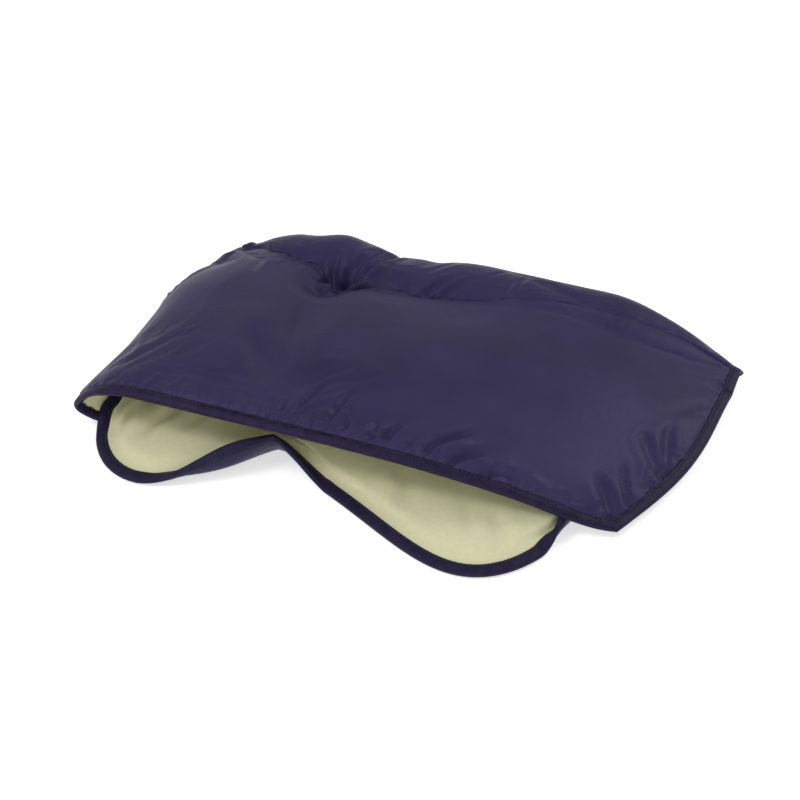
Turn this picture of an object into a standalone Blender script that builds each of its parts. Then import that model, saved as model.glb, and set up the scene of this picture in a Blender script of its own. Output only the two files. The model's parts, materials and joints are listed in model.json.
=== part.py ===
"""A padded hand muff for a pushchair handlebar, closed on its press studs and lying on a table.

Every panel is three layers, an outer shell, a wadding and an inner lining, bound at its free edges
with folded tape. The lower panel lies on the table and turns up at the back. The back panel arches
over the tunnel that takes the handlebar, and opens about the back seam. The upper panel hangs from
the front seam of the back panel, over the space for the hands, and lifts about that seam.
Units are metres. +X runs along the handlebar, -Y is the side of the hands, and +Z is up.
"""

import math

import bmesh
import bpy
import numpy as np
from mathutils import Vector

# Layers of a panel
SHELL_THICKNESS = 0.0012
LINING_THICKNESS = 0.0022
LAYER_GAP = 0.0003
UPPER_LOFT = 0.0105
BACK_LOFT = 0.0055
LOWER_LOFT = 0.0065
SEAM_LOFT = 0.0030
RIM_LOFT = 0.0008
LOFT_RUN = 0.060

# Edge tape
TAPE_THICKNESS = 0.0011
TAPE_WIDTH = 0.0080
TAPE_GAP = 0.0006
TAPE_SLACK = 0.0007

# Tunnel for the handlebar
TUNNEL_LEFT_X = -0.2665
TUNNEL_RIGHT_X = 0.2685
TUNNEL_RADIUS = 0.0290
TUNNEL_AXIS_Y = 0.1660
LEFT_END_RADIUS = 0.0140
LEFT_FLATTEN_X = -0.1795
LEFT_FLATTEN_POWER = 1.6
LEFT_END_SLANT = 0.018
RIGHT_END_RADIUS = 0.0105
RIGHT_FLATTEN_X = 0.1405
RIGHT_FLATTEN_POWER = 1.25
RIGHT_END_PULL = 0.010
SEAM_TO_CREST = 0.046
SEAM_DIP = 0.010

# Upper panel
FRONT_RIGHT_X = 0.2265
FRONT_Y = -0.1330
CORNER_START_X = -0.0545
CORNER_SET_BACK = 0.034
CORNER_ROUND = 2.5
FRONT_HEIGHT = 0.054
CORNER_HEIGHT = 0.010
RIGHT_BOW = 0.032
SIDE_ROUND = 2.5
CROWN = 0.012
LEFT_CROWN = 0.004
CROWN_ROUND = 0.7
GROOVE_DEPTH = 0.005
GROOVE_WIDTH = 0.024
GROOVE_LEAN = 1.4
GROOVE_FRONT_X = -0.0615

# Left side of the upper panel, where it turns down to the table
DRAPE_X = -0.2335
DRAPE_REACH = 0.036
DRAPE_CLOTH = 0.076
DRAPE_TURN = math.radians(140)
DRAPE_EDGE_HEIGHT = 0.008
DRAPE_PULL = 0.014
DRAPE_FADE = 3

# Lower panel
LOWER_LEFT_X = -0.2470
LOWER_RIGHT_X = 0.1875
NOTCH_X = -0.0780
NOTCH_Y = -0.1130
LOBE_END_Y = -0.1070
LEFT_LOBE_DEPTH = 0.0725
LEFT_LOBE_SKEW = 0.78
LEFT_LOBE_ROUND = 0.83
RIGHT_LOBE_DEPTH = 0.085
RIGHT_LOBE_SKEW = 2.33
RIGHT_LOBE_ROUND = 0.57
LOBE_BACK_Y = -0.0720
NOTCH_CURL = 0.026
NOTCH_LEFT_SPREAD = 0.052
NOTCH_RIGHT_SPREAD = 0.038
LEFT_CURL = 0.010
RIGHT_CURL = 0.005
CURL_RUN = 0.028
FLAT_CUT = 0.0005

# Press studs, as name, place along the handlebar and height at which the halves meet
STUD_SET_BACK = 0.013
STUDS = (("left", -0.1165, 0.0240), ("middle", 0.0225, 0.0310), ("right", 0.1555, 0.0300))
SEAT_HALF = 0.0080
PINCH_RUN = 0.032
PINCH_BACK_RUN = 0.017
STUD_RADIUS = 0.0063
SOCKET_HEIGHT = 0.0050
SOCKET_CHAMFER = 0.0010
STUD_BASE_HEIGHT = 0.0014
BALL_RADIUS = 0.0026
BALL_TOP_RADIUS = 0.0018
BALL_NECK_RADIUS = 0.0020
BALL_NECK_HEIGHT = 0.0010
BALL_WIDEST_HEIGHT = 0.0023
BALL_HEIGHT = 0.0032
BALL_CLEARANCE = 0.0006
RING_RADIUS = 0.0058
RING_THICKNESS = 0.0007
BARREL_RADIUS = 0.0016
BARREL_DEPTH = 0.0008
FIT = 0.0003
SEAM_GAP = 0.0004
TURN_STEPS = 16
SHARP_ANGLE = math.radians(50)

# Spacing of the mesh
COLUMN_STEP = 0.031
LEFT_COLUMN_STEP = 0.022
UPPER_ROW_SHARES = (0.14, 0.30, 0.48, 0.66, 0.82, 0.93)
LOWER_STEP = 0.062
CREST_ANGLES = (90, 62, 38, 18, 0)
UNDER_ANGLES = (-90, -60, -30, 0)
EDGE_SAMPLES = 200

SEAM_Y = TUNNEL_AXIS_Y - SEAM_TO_CREST
STUD_Y = SEAM_Y + STUD_SET_BACK
BACK_Y = TUNNEL_AXIS_Y + TUNNEL_RADIUS
SEAM_HEIGHT = 2 * TUNNEL_RADIUS - SEAM_DIP
TAPE_STACK = TAPE_GAP + TAPE_THICKNESS + LAYER_GAP
SEAT_SPACE = RING_THICKNESS + 2 * FIT
SEAT_THICKNESS = SHELL_THICKNESS + SEAT_SPACE + LINING_THICKNESS

# Finishes, as colour, roughness and metallic
SHELL_NYLON = ((0.036, 0.028, 0.092, 1.0), 0.38, 0.0)
EDGE_TAPE = ((0.018, 0.014, 0.052, 1.0), 0.55, 0.0)
FLEECE = ((0.80, 0.80, 0.48, 1.0), 0.95, 0.0)
WADDING = ((0.85, 0.85, 0.83, 1.0), 0.95, 0.0)
STUD_METAL = ((0.55, 0.54, 0.50, 1.0), 0.3, 1.0)


def lerp(a, b, t):
    return a + (b - a) * t


def clamp(t):
    return min(1.0, max(0.0, t))


def smooth(t):
    t = clamp(t)
    return t * t * (3 - 2 * t)


def share(x, start, end):
    """How far x is from start to end, held between 0 and 1."""
    return clamp((x - start) / (end - start))


def stations(stops, step):
    """The stops, with even steps between them no longer than step."""
    found = [stops[0]]
    for a, b in zip(stops, stops[1:]):
        count = max(1, math.ceil((b - a) / step - 1e-6))
        found += [lerp(a, b, (k + 1) / count) for k in range(count)]
    return found


def material(name, finish):
    colour, roughness, metallic = finish
    made = bpy.data.materials.new(name)
    made.use_nodes = True
    shader = made.node_tree.nodes["Principled BSDF"]
    shader.inputs["Base Color"].default_value = colour
    shader.inputs["Roughness"].default_value = roughness
    shader.inputs["Metallic"].default_value = metallic
    return made


# The tunnel


def tunnel_radius(x):
    if x < 0:
        flat = share(x, LEFT_FLATTEN_X, TUNNEL_LEFT_X) ** LEFT_FLATTEN_POWER
        return lerp(TUNNEL_RADIUS, LEFT_END_RADIUS, flat)
    flat = share(x, RIGHT_FLATTEN_X, TUNNEL_RIGHT_X) ** RIGHT_FLATTEN_POWER
    return lerp(TUNNEL_RADIUS, RIGHT_END_RADIUS, flat)


def tunnel_y(x):
    return TUNNEL_AXIS_Y - RIGHT_END_PULL * share(x, RIGHT_FLATTEN_X, TUNNEL_RIGHT_X) ** 2


def seat_share(x, y):
    """1 on a press stud's seat, falling to 0 around it, with the height at which its halves meet."""
    best, meet = 0.0, STUDS[0][2]
    for _, stud_x, height in STUDS:
        run = PINCH_BACK_RUN if y > STUD_Y else PINCH_RUN
        away = max((abs(x - stud_x) - SEAT_HALF) / PINCH_RUN, (abs(y - STUD_Y) - SEAT_HALF) / run)
        part = 1 - smooth(away)
        if part > best:
            best, meet = part, height
    return best, meet


def drape(cloth_x):
    """Where a point of the cloth comes to lie once it is turned down at the left, and its share of the fall."""
    if cloth_x >= DRAPE_X:
        return cloth_x, 0.0
    turned = DRAPE_TURN * (DRAPE_X - cloth_x) / DRAPE_CLOTH
    fallen = (1 - math.cos(turned)) / (1 - math.cos(DRAPE_TURN))
    return DRAPE_X - DRAPE_REACH * math.sin(turned), fallen


def back_x(x, y):
    """Where a column crosses a line across the tunnel, with its left end slanted."""
    slant = LEFT_END_SLANT * share(x, LEFT_FLATTEN_X, TUNNEL_LEFT_X)
    return drape(x)[0] + slant * smooth(share(y, SEAM_Y, BACK_Y))


# The outer face of the upper and back panels


def front_cloth_x(x):
    """Where a column of the back panel ends on the front edge, measured along the cloth."""
    return lerp(DRAPE_X - DRAPE_CLOTH, FRONT_RIGHT_X, share(x, TUNNEL_LEFT_X, TUNNEL_RIGHT_X))


def front_edge(cloth_x):
    """(y, z) of the front edge before it is turned down at the left."""
    corner = share(cloth_x, CORNER_START_X, FRONT_RIGHT_X)
    turned = corner**CORNER_ROUND
    return FRONT_Y + CORNER_SET_BACK * turned, lerp(FRONT_HEIGHT, CORNER_HEIGHT, turned)


def seam_height(x):
    return tunnel_radius(x) * SEAM_HEIGHT / TUNNEL_RADIUS


def crown(x, v):
    side = lerp(LEFT_CROWN, CROWN, smooth(share(x, DRAPE_X, CORNER_START_X)))
    right = 1 - share(x, CORNER_START_X, TUNNEL_RIGHT_X) ** 3
    return side * right * (4 * v * (1 - v)) ** CROWN_ROUND


def groove(x, y):
    """The long crease from the left press stud to the front edge."""
    along = share(y, STUD_Y, FRONT_Y)
    line_x = lerp(STUDS[0][1], GROOVE_FRONT_X, along**GROOVE_LEAN)
    return GROOVE_DEPTH * math.exp(-(((x - line_x) / GROOVE_WIDTH) ** 2)) * math.sin(math.pi * along)


def pinched(x, y, z):
    part, meet = seat_share(x, y)
    seat = meet + FIT + SOCKET_HEIGHT + FIT + SEAT_THICKNESS
    return lerp(z, min(z, seat), part)


def upper_point(x, v):
    """A point of the upper panel: v runs from 0 at the front edge to 1 at the front seam."""
    cloth_front = front_cloth_x(x)
    cloth_x = lerp(cloth_front, x, v**SIDE_ROUND)
    front_y, front_z = front_edge(cloth_front)
    bow = RIGHT_BOW * math.sin(math.pi * v) * share(x, CORNER_START_X, TUNNEL_RIGHT_X) ** 2
    place_x, fallen = drape(cloth_x + bow)
    y = lerp(front_y + DRAPE_PULL * share(cloth_x, DRAPE_X, DRAPE_X - DRAPE_CLOTH), SEAM_Y, v)
    z = lerp(front_z, seam_height(x), v * v) + crown(x, v) - groove(cloth_x, y)
    z = lerp(z, DRAPE_EDGE_HEIGHT, fallen * (1 - v**DRAPE_FADE))
    return Vector((place_x, y, pinched(place_x, y, z)))


def back_point(x, y):
    """A point of the back panel between its front seam and the crest of the tunnel."""
    crest_y, radius = tunnel_y(x), tunnel_radius(x)
    down = share(y, crest_y, SEAM_Y)
    z = 2 * radius - (2 * radius - seam_height(x)) * down**2
    place_x = back_x(x, y)
    return Vector((place_x, y, pinched(place_x, y, z)))


def arc_point(x, angle):
    """A point on the round back of the tunnel: angle is 0 at the back seam and a right angle at the crest."""
    radius = tunnel_radius(x)
    y = tunnel_y(x) + radius * math.cos(angle)
    return Vector((back_x(x, y), y, radius + radius * math.sin(angle)))


# The outer face of the lower panel


def lobe_edge(x):
    """y of the front edge of the lower panel: a short round lobe, a notch, and a long skewed lobe."""
    if x < NOTCH_X:
        along = share(x, LOWER_LEFT_X, NOTCH_X)
        bulge = math.sin(math.pi * along**LEFT_LOBE_SKEW) ** LEFT_LOBE_ROUND
        return lerp(LOBE_END_Y, NOTCH_Y, along) - LEFT_LOBE_DEPTH * bulge
    along = share(x, NOTCH_X, LOWER_RIGHT_X)
    bulge = math.sin(math.pi * along**RIGHT_LOBE_SKEW) ** RIGHT_LOBE_ROUND
    return lerp(NOTCH_Y, LOBE_END_Y, along) - RIGHT_LOBE_DEPTH * bulge


def lobe_of(x):
    """The ends of the lobe that a column of the tunnel runs to, and how far along it the column is."""
    if x < NOTCH_X:
        return LOWER_LEFT_X, NOTCH_X, share(x, TUNNEL_LEFT_X, NOTCH_X)
    return NOTCH_X, LOWER_RIGHT_X, share(x, NOTCH_X, TUNNEL_RIGHT_X)


def lower_front_x(x):
    """Where a column of the tunnel would meet the front of the lower panel if the columns were even."""
    start, end, along = lobe_of(x)
    return lerp(start, end, along)


def edge_point(x):
    """Where a column of the tunnel ends on the lobed edge, evenly spaced along the edge of each lobe."""
    start, end, along = lobe_of(x)
    xs = start + (end - start) * (1 - np.cos(np.linspace(0, math.pi, EDGE_SAMPLES))) / 2
    ys = np.array([lobe_edge(sample) for sample in xs])
    lengths = np.append(0, np.cumsum(np.hypot(np.diff(xs), np.diff(ys))))
    here = along * lengths[-1]
    return Vector((np.interp(here, lengths, xs), np.interp(here, lengths, ys), 0))


def lower_height(x, y, front_y, left_x, right_x):
    """Height of the underside: curled up at the notch and the sides, and raised under each stud."""
    spread = NOTCH_LEFT_SPREAD if x < NOTCH_X else NOTCH_RIGHT_SPREAD
    notch = NOTCH_CURL * math.exp(-(((x - NOTCH_X) / spread) ** 2))
    notch *= (1 - share(y, front_y, front_y + CURL_RUN)) ** 2
    left = LEFT_CURL * (1 - share(x, left_x, left_x + CURL_RUN)) ** 2
    left *= smooth(share(y, LOBE_END_Y, 0.0)) * (1 - smooth(share(y, 0.0, SEAM_Y - CURL_RUN)))
    right = RIGHT_CURL * (1 - share(x, right_x, right_x - CURL_RUN)) ** 2
    right *= 1 - smooth(share(y, LOBE_BACK_Y, 0.0))
    curl = max(0.0, notch + left + right - FLAT_CUT)
    part, meet = seat_share(x, y)
    seat = meet - STUD_BASE_HEIGHT - FIT - SEAT_THICKNESS
    return lerp(curl, seat, part)


# Lattices: each is a grid of points and outward normals that all layers of a panel share


class Lattice:
    def __init__(self, columns, seats, facing):
        self.points = columns
        self.seats = seats
        self.facing = facing
        self.across = len(columns) - 1
        self.along = len(columns[0]) - 1
        self.normals = [[self.normal(i, j) for j in range(self.along + 1)] for i in range(self.across + 1)]

    def split_way(self, i):
        """Which way the cells of a column are split, so that both front corners are split to the corner."""
        return 1 if i < self.across / 2 else -1

    def seat_corner(self, i, j):
        return any(i - a in (0, 1) and j - b in (0, 1) for a, b in self.seats)

    def normal(self, i, j):
        if self.seat_corner(i, j):
            return Vector((0, 0, self.facing))
        side = self.points[min(i + 1, self.across)][j] - self.points[max(i - 1, 0)][j]
        run = self.points[i][min(j + 1, self.along)] - self.points[i][max(j - 1, 0)]
        if j == self.along:
            run = Vector((0, 0, -self.facing))
        return side.cross(run).normalized() * self.facing

    def part(self, first, last, gap_first, gap_last):
        """Rows first to last, with the end rows drawn back by the gaps."""
        made = Lattice.__new__(Lattice)
        made.points = [list(column[first : last + 1]) for column in self.points]
        made.normals = [list(column[first : last + 1]) for column in self.normals]
        made.seats = [(i, j - first) for i, j in self.seats if first <= j < last]
        made.facing = self.facing
        made.across = self.across
        made.along = last - first
        for column in made.points:
            column[0] = column[0] + (column[1] - column[0]).normalized() * gap_first
            column[-1] = column[-1] + (column[-2] - column[-1]).normalized() * gap_last
        return made


def column_stations():
    stops = [TUNNEL_LEFT_X, TUNNEL_LEFT_X + TAPE_WIDTH]
    near_left = STUDS[0][1] - SEAT_HALF
    left = stations([stops[1], near_left], LEFT_COLUMN_STEP)
    inner = sorted([NOTCH_X] + [x + side for _, x, _ in STUDS for side in (-SEAT_HALF, SEAT_HALF)][1:])
    right = [TUNNEL_RIGHT_X - TAPE_WIDTH]
    rest = stations([near_left] + inner + right, COLUMN_STEP)
    return [TUNNEL_LEFT_X] + left + rest[1:] + [TUNNEL_RIGHT_X]


def seat_cells(columns, row):
    """The lattice cell of each press stud's seat."""
    return [(min(range(len(columns)), key=lambda i: abs(columns[i] - x + SEAT_HALF)), row) for _, x, _ in STUDS]


def upper_lattice(columns):
    """The upper and back panels as one sheet, and the row of the seam between them."""
    tape = TAPE_WIDTH / (SEAM_Y - FRONT_Y)
    rows = [0.0, tape, *UPPER_ROW_SHARES, 1.0]
    made = []
    for x in columns:
        points = [upper_point(x, v) for v in rows]
        ahead, behind = STUD_Y - SEAT_HALF, STUD_Y + SEAT_HALF
        middle = lerp(behind, tunnel_y(x), 0.5)
        points += [back_point(x, y) for y in (ahead, behind, middle)]
        points += [arc_point(x, math.radians(angle)) for angle in CREST_ANGLES]
        made.append(points)
    seam = len(rows) - 1
    return Lattice(made, seat_cells(columns, seam + 1), 1), seam


def inward(before, after):
    """The level direction into a panel, from the points before and after on its edge."""
    run = after - before
    return Vector((-run.y, run.x, 0)).normalized()


def lower_lattice(columns):
    """The lower panel, from its lobed edge back and up to the back seam."""
    edge = [edge_point(x) for x in columns]
    behind = STUD_Y + SEAT_HALF
    level = [*stations([LOBE_BACK_Y, STUD_Y - SEAT_HALF], LOWER_STEP), behind, lerp(behind, TUNNEL_AXIS_Y, 0.5)]
    last = len(columns) - 1
    made = []
    back = Vector((0, TAPE_WIDTH, 0))
    for k, x in enumerate(columns):
        if k in (0, last):
            inner = edge[k] + back
        elif k == 1:
            inner = edge[0] + inward(edge[0] + back, edge[1]) * TAPE_WIDTH
        elif k == last - 1:
            inner = edge[last] + inward(edge[k], edge[last] + back) * TAPE_WIDTH
        else:
            inner = edge[k] + inward(edge[k - 1], edge[k + 1]) * TAPE_WIDTH
        plan = [edge[k], inner]
        start = Vector((level_x(columns, k, LOBE_BACK_Y), LOBE_BACK_Y, 0))
        plan.append(inner.lerp(start, 0.5))
        plan += [Vector((level_x(columns, k, y), y, 0)) for y in level]
        for point in plan:
            sides = [level_x(columns, e, point.y) for e in (0, last)]
            point.z = lower_height(point.x, point.y, edge[k].y, *sides)
        points = plan + [arc_point(x, math.radians(angle)) for angle in UNDER_ANGLES]
        for row, point in enumerate(points):
            if row < 2 or k in (0, 1, last - 1, last):
                point.z = max(point.z, TAPE_STACK)
        made.append(points)
    seat_row = 2 + level.index(behind)
    return Lattice(made, seat_cells(columns, seat_row), -1)


def level_x(columns, k, y):
    """Where a column crosses a level line behind the lobes."""
    return lerp(lower_front_x(columns[k]), back_x(columns[k], y), share(y, LOBE_END_Y, SEAM_Y))


# Layers


def loft(lattice, i, j, full, free_ends, seam_rows):
    """Thickness of the wadding: thin at the free edges and the seams, full inside."""
    if lattice.seat_corner(i, j):
        return SEAT_SPACE - 2 * LAYER_GAP
    points = lattice.points
    here = points[i][j]
    away = [(here - points[0][j]).length, (here - points[-1][j]).length]
    if free_ends[0]:
        away.append((here - points[i][0]).length)
    if free_ends[1]:
        away.append((here - points[i][-1]).length)
    near = min(away)
    full = min(full, SEAM_LOFT) if j in seam_rows else full
    rise = share(near, TAPE_WIDTH, LOFT_RUN)
    return lerp(RIM_LOFT, full, 1 - (1 - rise) ** 2)


def space(lattice, i, j, full, free_ends, seam_rows):
    """Room between the shell and the lining: almost none under the edge tape."""
    on_edge = i in (0, lattice.across)
    on_edge = on_edge or (free_ends[0] and j == 0) or (free_ends[1] and j == lattice.along)
    if on_edge:
        return LAYER_GAP
    return loft(lattice, i, j, full, free_ends, seam_rows) + 2 * LAYER_GAP


def sheet_mesh(name, lattice, low, high, skip_edges=(0, 0, 0, 0), holes=()):
    """A closed layer between the depths low and high under the lattice's outer face."""
    left, right, first, last = skip_edges
    across = lattice.across - left - right
    along = lattice.along - first - last
    bm = bmesh.new()
    bmesh.ops.create_grid(bm, x_segments=across, y_segments=along, size=0.5)
    for vert in bm.verts:
        vert.co.x = left + round((vert.co.x + 0.5) * across)
        vert.co.y = first + round((vert.co.y + 0.5) * along)
    for face in bm.faces[:]:
        centre = face.calc_center_median()
        cell = (math.floor(centre.x), math.floor(centre.y))
        if cell in holes:
            bmesh.ops.delete(bm, geom=[face], context="FACES")
            continue
        way = lattice.split_way(cell[0])
        corners = sorted(face.verts, key=lambda vert: vert.co.x + way * vert.co.y)
        bmesh.utils.face_split(face, corners[0], corners[-1])
    made = bmesh.ops.extrude_face_region(bm, geom=bm.faces[:], use_keep_orig=True)
    raised = {item for item in made["geom"] if isinstance(item, bmesh.types.BMVert)}
    for vert in bm.verts:
        i, j = round(vert.co.x), round(vert.co.y)
        depth = high(i, j) if vert in raised else low(i, j)
        vert.co = lattice.points[i][j] - lattice.normals[i][j] * depth
    bmesh.ops.recalc_face_normals(bm, faces=bm.faces)
    return finished_mesh(bm, name)


def finished_mesh(bm, name):
    if bm.calc_volume(signed=True) < 0:
        bmesh.ops.reverse_faces(bm, faces=bm.faces)
    mesh = bpy.data.meshes.new(name)
    bm.to_mesh(mesh)
    bm.free()
    mesh.shade_smooth()
    mesh.set_sharp_from_angle(angle=SHARP_ANGLE)
    return mesh


def place(name, mesh, finish, parent=None):
    mesh.materials.append(finish)
    made = bpy.data.objects.new(name, mesh)
    bpy.context.scene.collection.objects.link(made)
    if parent:
        origin = axis_place(parent)
        for vert in mesh.vertices:
            vert.co -= origin
        made.parent = parent
    return made


def axis_place(empty):
    place_now = empty.location.copy()
    while empty.parent:
        empty = empty.parent
        place_now += empty.location
    return place_now


def axis_empty(name, location, parent=None):
    made = bpy.data.objects.new(name, None)
    bpy.context.scene.collection.objects.link(made)
    made.location = location - (axis_place(parent) if parent else Vector())
    made.parent = parent
    return made


def panel(name, lattice, full, free_ends, seam_rows, finishes, parent):
    """The shell, wadding and lining of one panel. It gives the lining and the panel's depth."""
    shell_finish, wadding_finish, lining_finish = finishes

    def room(i, j):
        return space(lattice, i, j, full, free_ends, seam_rows)

    def under_shell(i, j):
        return SHELL_THICKNESS + LAYER_GAP

    def wadding_back(i, j):
        return SHELL_THICKNESS + room(i, j) - LAYER_GAP

    def lining_front(i, j):
        return SHELL_THICKNESS + room(i, j)

    def lining_back(i, j):
        return lining_front(i, j) + LINING_THICKNESS

    inset = (1, 1, int(free_ends[0]), int(free_ends[1]))
    shell = sheet_mesh(f"{name}_shell", lattice, lambda i, j: SHELL_THICKNESS, lambda i, j: 0.0)
    wadding = sheet_mesh(f"{name}_wadding", lattice, wadding_back, under_shell, inset, lattice.seats)
    lining = sheet_mesh(f"{name}_lining", lattice, lining_back, lining_front)
    place(f"{name}_shell", shell, shell_finish, parent)
    place(f"{name}_wadding", wadding, wadding_finish, parent)
    return place(f"{name}_lining", lining, lining_finish, parent), lining_back


# Edge tape


def outward(line, k, normal, inner):
    """The way out of a panel at one point of its edge, long enough to keep the tape's width at a corner."""
    here = line[k]
    ahead = (line[k + 1] - here if k + 1 < len(line) else here - line[k - 1]).normalized()
    behind = (here - line[k - 1] if k else line[1] - here).normalized()
    out = (ahead + behind).cross(normal).normalized()
    if out.dot(here - inner) < 0:
        out.negate()
    return out / abs(ahead.cross(normal).normalized().dot(out))


def tape_section(lattice, depth, edges, k):
    """The folded tape's section at one point of a panel's edge, as eight points round a U."""
    edge, inner = edges[k]
    here, normal = lattice.points[edge[0]][edge[1]], lattice.normals[edge[0]][edge[1]]
    there, inner_normal = lattice.points[inner[0]][inner[1]], lattice.normals[inner[0]][inner[1]]
    under_here = here - normal * depth(*edge)
    under_there = there - inner_normal * depth(*inner)
    out = outward([lattice.points[i][j] for (i, j), _ in edges], k, normal, there)
    near, far = TAPE_GAP, TAPE_GAP + TAPE_THICKNESS
    inside, outside = out * TAPE_SLACK, out * (TAPE_SLACK + TAPE_THICKNESS)
    return [
        there + inner_normal * near,
        here + inside + normal * near,
        under_here + inside - normal * near,
        under_there - inner_normal * near,
        under_there - inner_normal * far,
        under_here + outside - normal * far,
        here + outside + normal * far,
        there + inner_normal * far,
    ]


def tape_diagonal(lattice, this, following):
    """True where the panel's cell is split from this edge point to the following inner point."""
    (i, j), (inner_i, inner_j) = this[0], following[1]
    way = (inner_i - i) * (inner_j - j)
    return way * lattice.split_way(min(i, inner_i)) > 0


def split_tape(before, after, edge_to_inner):
    """Splits the tape's faces between two sections along the diagonals of the panel under them."""
    for end, here in ((0, 1), (3, 2), (4, 5), (7, 6), (2, 1), (5, 6), (3, 4), (0, 7)):
        first, second = (here, end) if edge_to_inner else (end, here)
        shared = set(before[first].link_faces) & set(after[second].link_faces)
        for quad in shared:
            bmesh.utils.face_split(quad, before[first], after[second])


def tape(name, lattice, depth, edges, finish, parent):
    """A folded tape along the listed edge points, each given with the lattice point inside it."""
    sections = [tape_section(lattice, depth, edges, k) for k in range(len(edges))]
    bm = bmesh.new()
    face = bm.faces.new([bm.verts.new(point) for point in sections[0]])
    for k, section in enumerate(sections[1:]):
        before = list(face.verts)
        made = bmesh.ops.extrude_face_region(bm, geom=[face], use_keep_orig=True)
        if k:
            bmesh.ops.delete(bm, geom=[face], context="FACES_ONLY")
        face = next(item for item in made["geom"] if isinstance(item, bmesh.types.BMFace))
        after = list(face.verts)
        for vert, point in zip(after, section):
            vert.co = point
        split_tape(before, after, tape_diagonal(lattice, edges[k], edges[k + 1]))
    bmesh.ops.recalc_face_normals(bm, faces=bm.faces)
    return place(name, finished_mesh(bm, name), finish, parent)


def three_sided_edge(lattice):
    """Left side, front edge and right side of a panel, each point with its inner neighbour."""
    last, top = lattice.across, lattice.along
    left = [((0, j), (1, j)) for j in range(top, 0, -1)]
    front = [((i, 0), (i, 1)) for i in range(1, last)]
    right = [((last, j), (last - 1, j)) for j in range(1, top + 1)]
    return left + [((0, 0), (1, 1))] + front + [((last, 0), (last - 1, 1))] + right


# Press studs


def turned(name, profile, centre, finish, parent):
    """A solid of revolution about a vertical line through centre, from (radius, height) points."""
    bm = bmesh.new()
    verts = [bm.verts.new((centre.x + r, centre.y, centre.z + z)) for r, z in profile]
    edges = [bm.edges.new(pair) for pair in zip(verts, verts[1:])]
    bmesh.ops.spin(
        bm,
        geom=verts + edges,
        cent=centre,
        axis=(0, 0, 1),
        angle=2 * math.pi,
        steps=TURN_STEPS,
        use_merge=True,
    )
    bmesh.ops.remove_doubles(bm, verts=bm.verts, dist=1e-6)
    bmesh.ops.recalc_face_normals(bm, faces=bm.faces)
    return place(name, finished_mesh(bm, name), finish, parent)


def socket_profile():
    bore_radius = BALL_RADIUS + BALL_CLEARANCE
    bore_depth = BALL_HEIGHT + FIT
    recess = BARREL_RADIUS + FIT
    return [
        (0, bore_depth),
        (bore_radius, bore_depth),
        (bore_radius, 0),
        (STUD_RADIUS - SOCKET_CHAMFER, 0),
        (STUD_RADIUS, SOCKET_CHAMFER),
        (STUD_RADIUS, SOCKET_HEIGHT),
        (recess, SOCKET_HEIGHT),
        (recess, SOCKET_HEIGHT - BARREL_DEPTH - FIT),
        (0, SOCKET_HEIGHT - BARREL_DEPTH - FIT),
    ]


def stud_profile():
    recess = BARREL_RADIUS + FIT
    return [
        (0, BALL_HEIGHT),
        (BALL_TOP_RADIUS, BALL_HEIGHT),
        (BALL_RADIUS, BALL_WIDEST_HEIGHT),
        (BALL_NECK_RADIUS, BALL_NECK_HEIGHT),
        (BALL_NECK_RADIUS, 0),
        (STUD_RADIUS, 0),
        (STUD_RADIUS, -STUD_BASE_HEIGHT),
        (recess, -STUD_BASE_HEIGHT),
        (recess, BARREL_DEPTH + FIT - STUD_BASE_HEIGHT),
        (0, BARREL_DEPTH + FIT - STUD_BASE_HEIGHT),
    ]


def ring_profile(way):
    """A flat ring on the far face of the lining, with a barrel through it towards the stud half."""
    barrel = LINING_THICKNESS + FIT + BARREL_DEPTH
    return [
        (0, -way * barrel),
        (BARREL_RADIUS, -way * barrel),
        (BARREL_RADIUS, way * FIT),
        (RING_RADIUS, way * FIT),
        (RING_RADIUS, way * (FIT + RING_THICKNESS)),
        (0, way * (FIT + RING_THICKNESS)),
    ]


def pierce(lining, x, height):
    """Cuts the hole for a ring's barrel through a lining."""
    bm = bmesh.new()
    bmesh.ops.create_cone(
        bm,
        cap_ends=True,
        segments=TURN_STEPS,
        radius1=BARREL_RADIUS + FIT,
        radius2=BARREL_RADIUS + FIT,
        depth=LINING_THICKNESS * 3,
    )
    mesh = bpy.data.meshes.new(f"{lining.name}_cutter")
    bm.to_mesh(mesh)
    bm.free()
    cutter = bpy.data.objects.new(mesh.name, mesh)
    bpy.context.scene.collection.objects.link(cutter)
    cutter.location = (x, STUD_Y, height)
    cutter.hide_render = True
    cutter.display_type = "WIRE"
    cut = lining.modifiers.new("barrel_hole", "BOOLEAN")
    cut.object = cutter


def press_stud(name, x, meet, linings, finish, back_axis):
    """The four pieces of a press stud: socket and ring on the back panel, stud and ring on the lower one."""
    back_lining, lower_lining = linings
    centre = Vector((x, STUD_Y, meet))
    up = Vector((0, 0, 1))
    socket = centre + up * FIT
    turned(f"{name}_socket", socket_profile(), socket, finish, back_axis)
    upper_face = meet + FIT + SOCKET_HEIGHT + FIT + LINING_THICKNESS
    turned(f"{name}_socket_ring", ring_profile(1), Vector((x, STUD_Y, upper_face)), finish, back_axis)
    pierce(back_lining, x, upper_face - LINING_THICKNESS / 2)
    turned(f"{name}_stud", stud_profile(), centre, finish, None)
    lower_face = meet - STUD_BASE_HEIGHT - FIT - LINING_THICKNESS
    turned(f"{name}_stud_ring", ring_profile(-1), Vector((x, STUD_Y, lower_face)), finish, None)
    pierce(lower_lining, x, lower_face + LINING_THICKNESS / 2)


def clear_scene():
    for item in list(bpy.data.objects):
        bpy.data.objects.remove(item)


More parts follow.
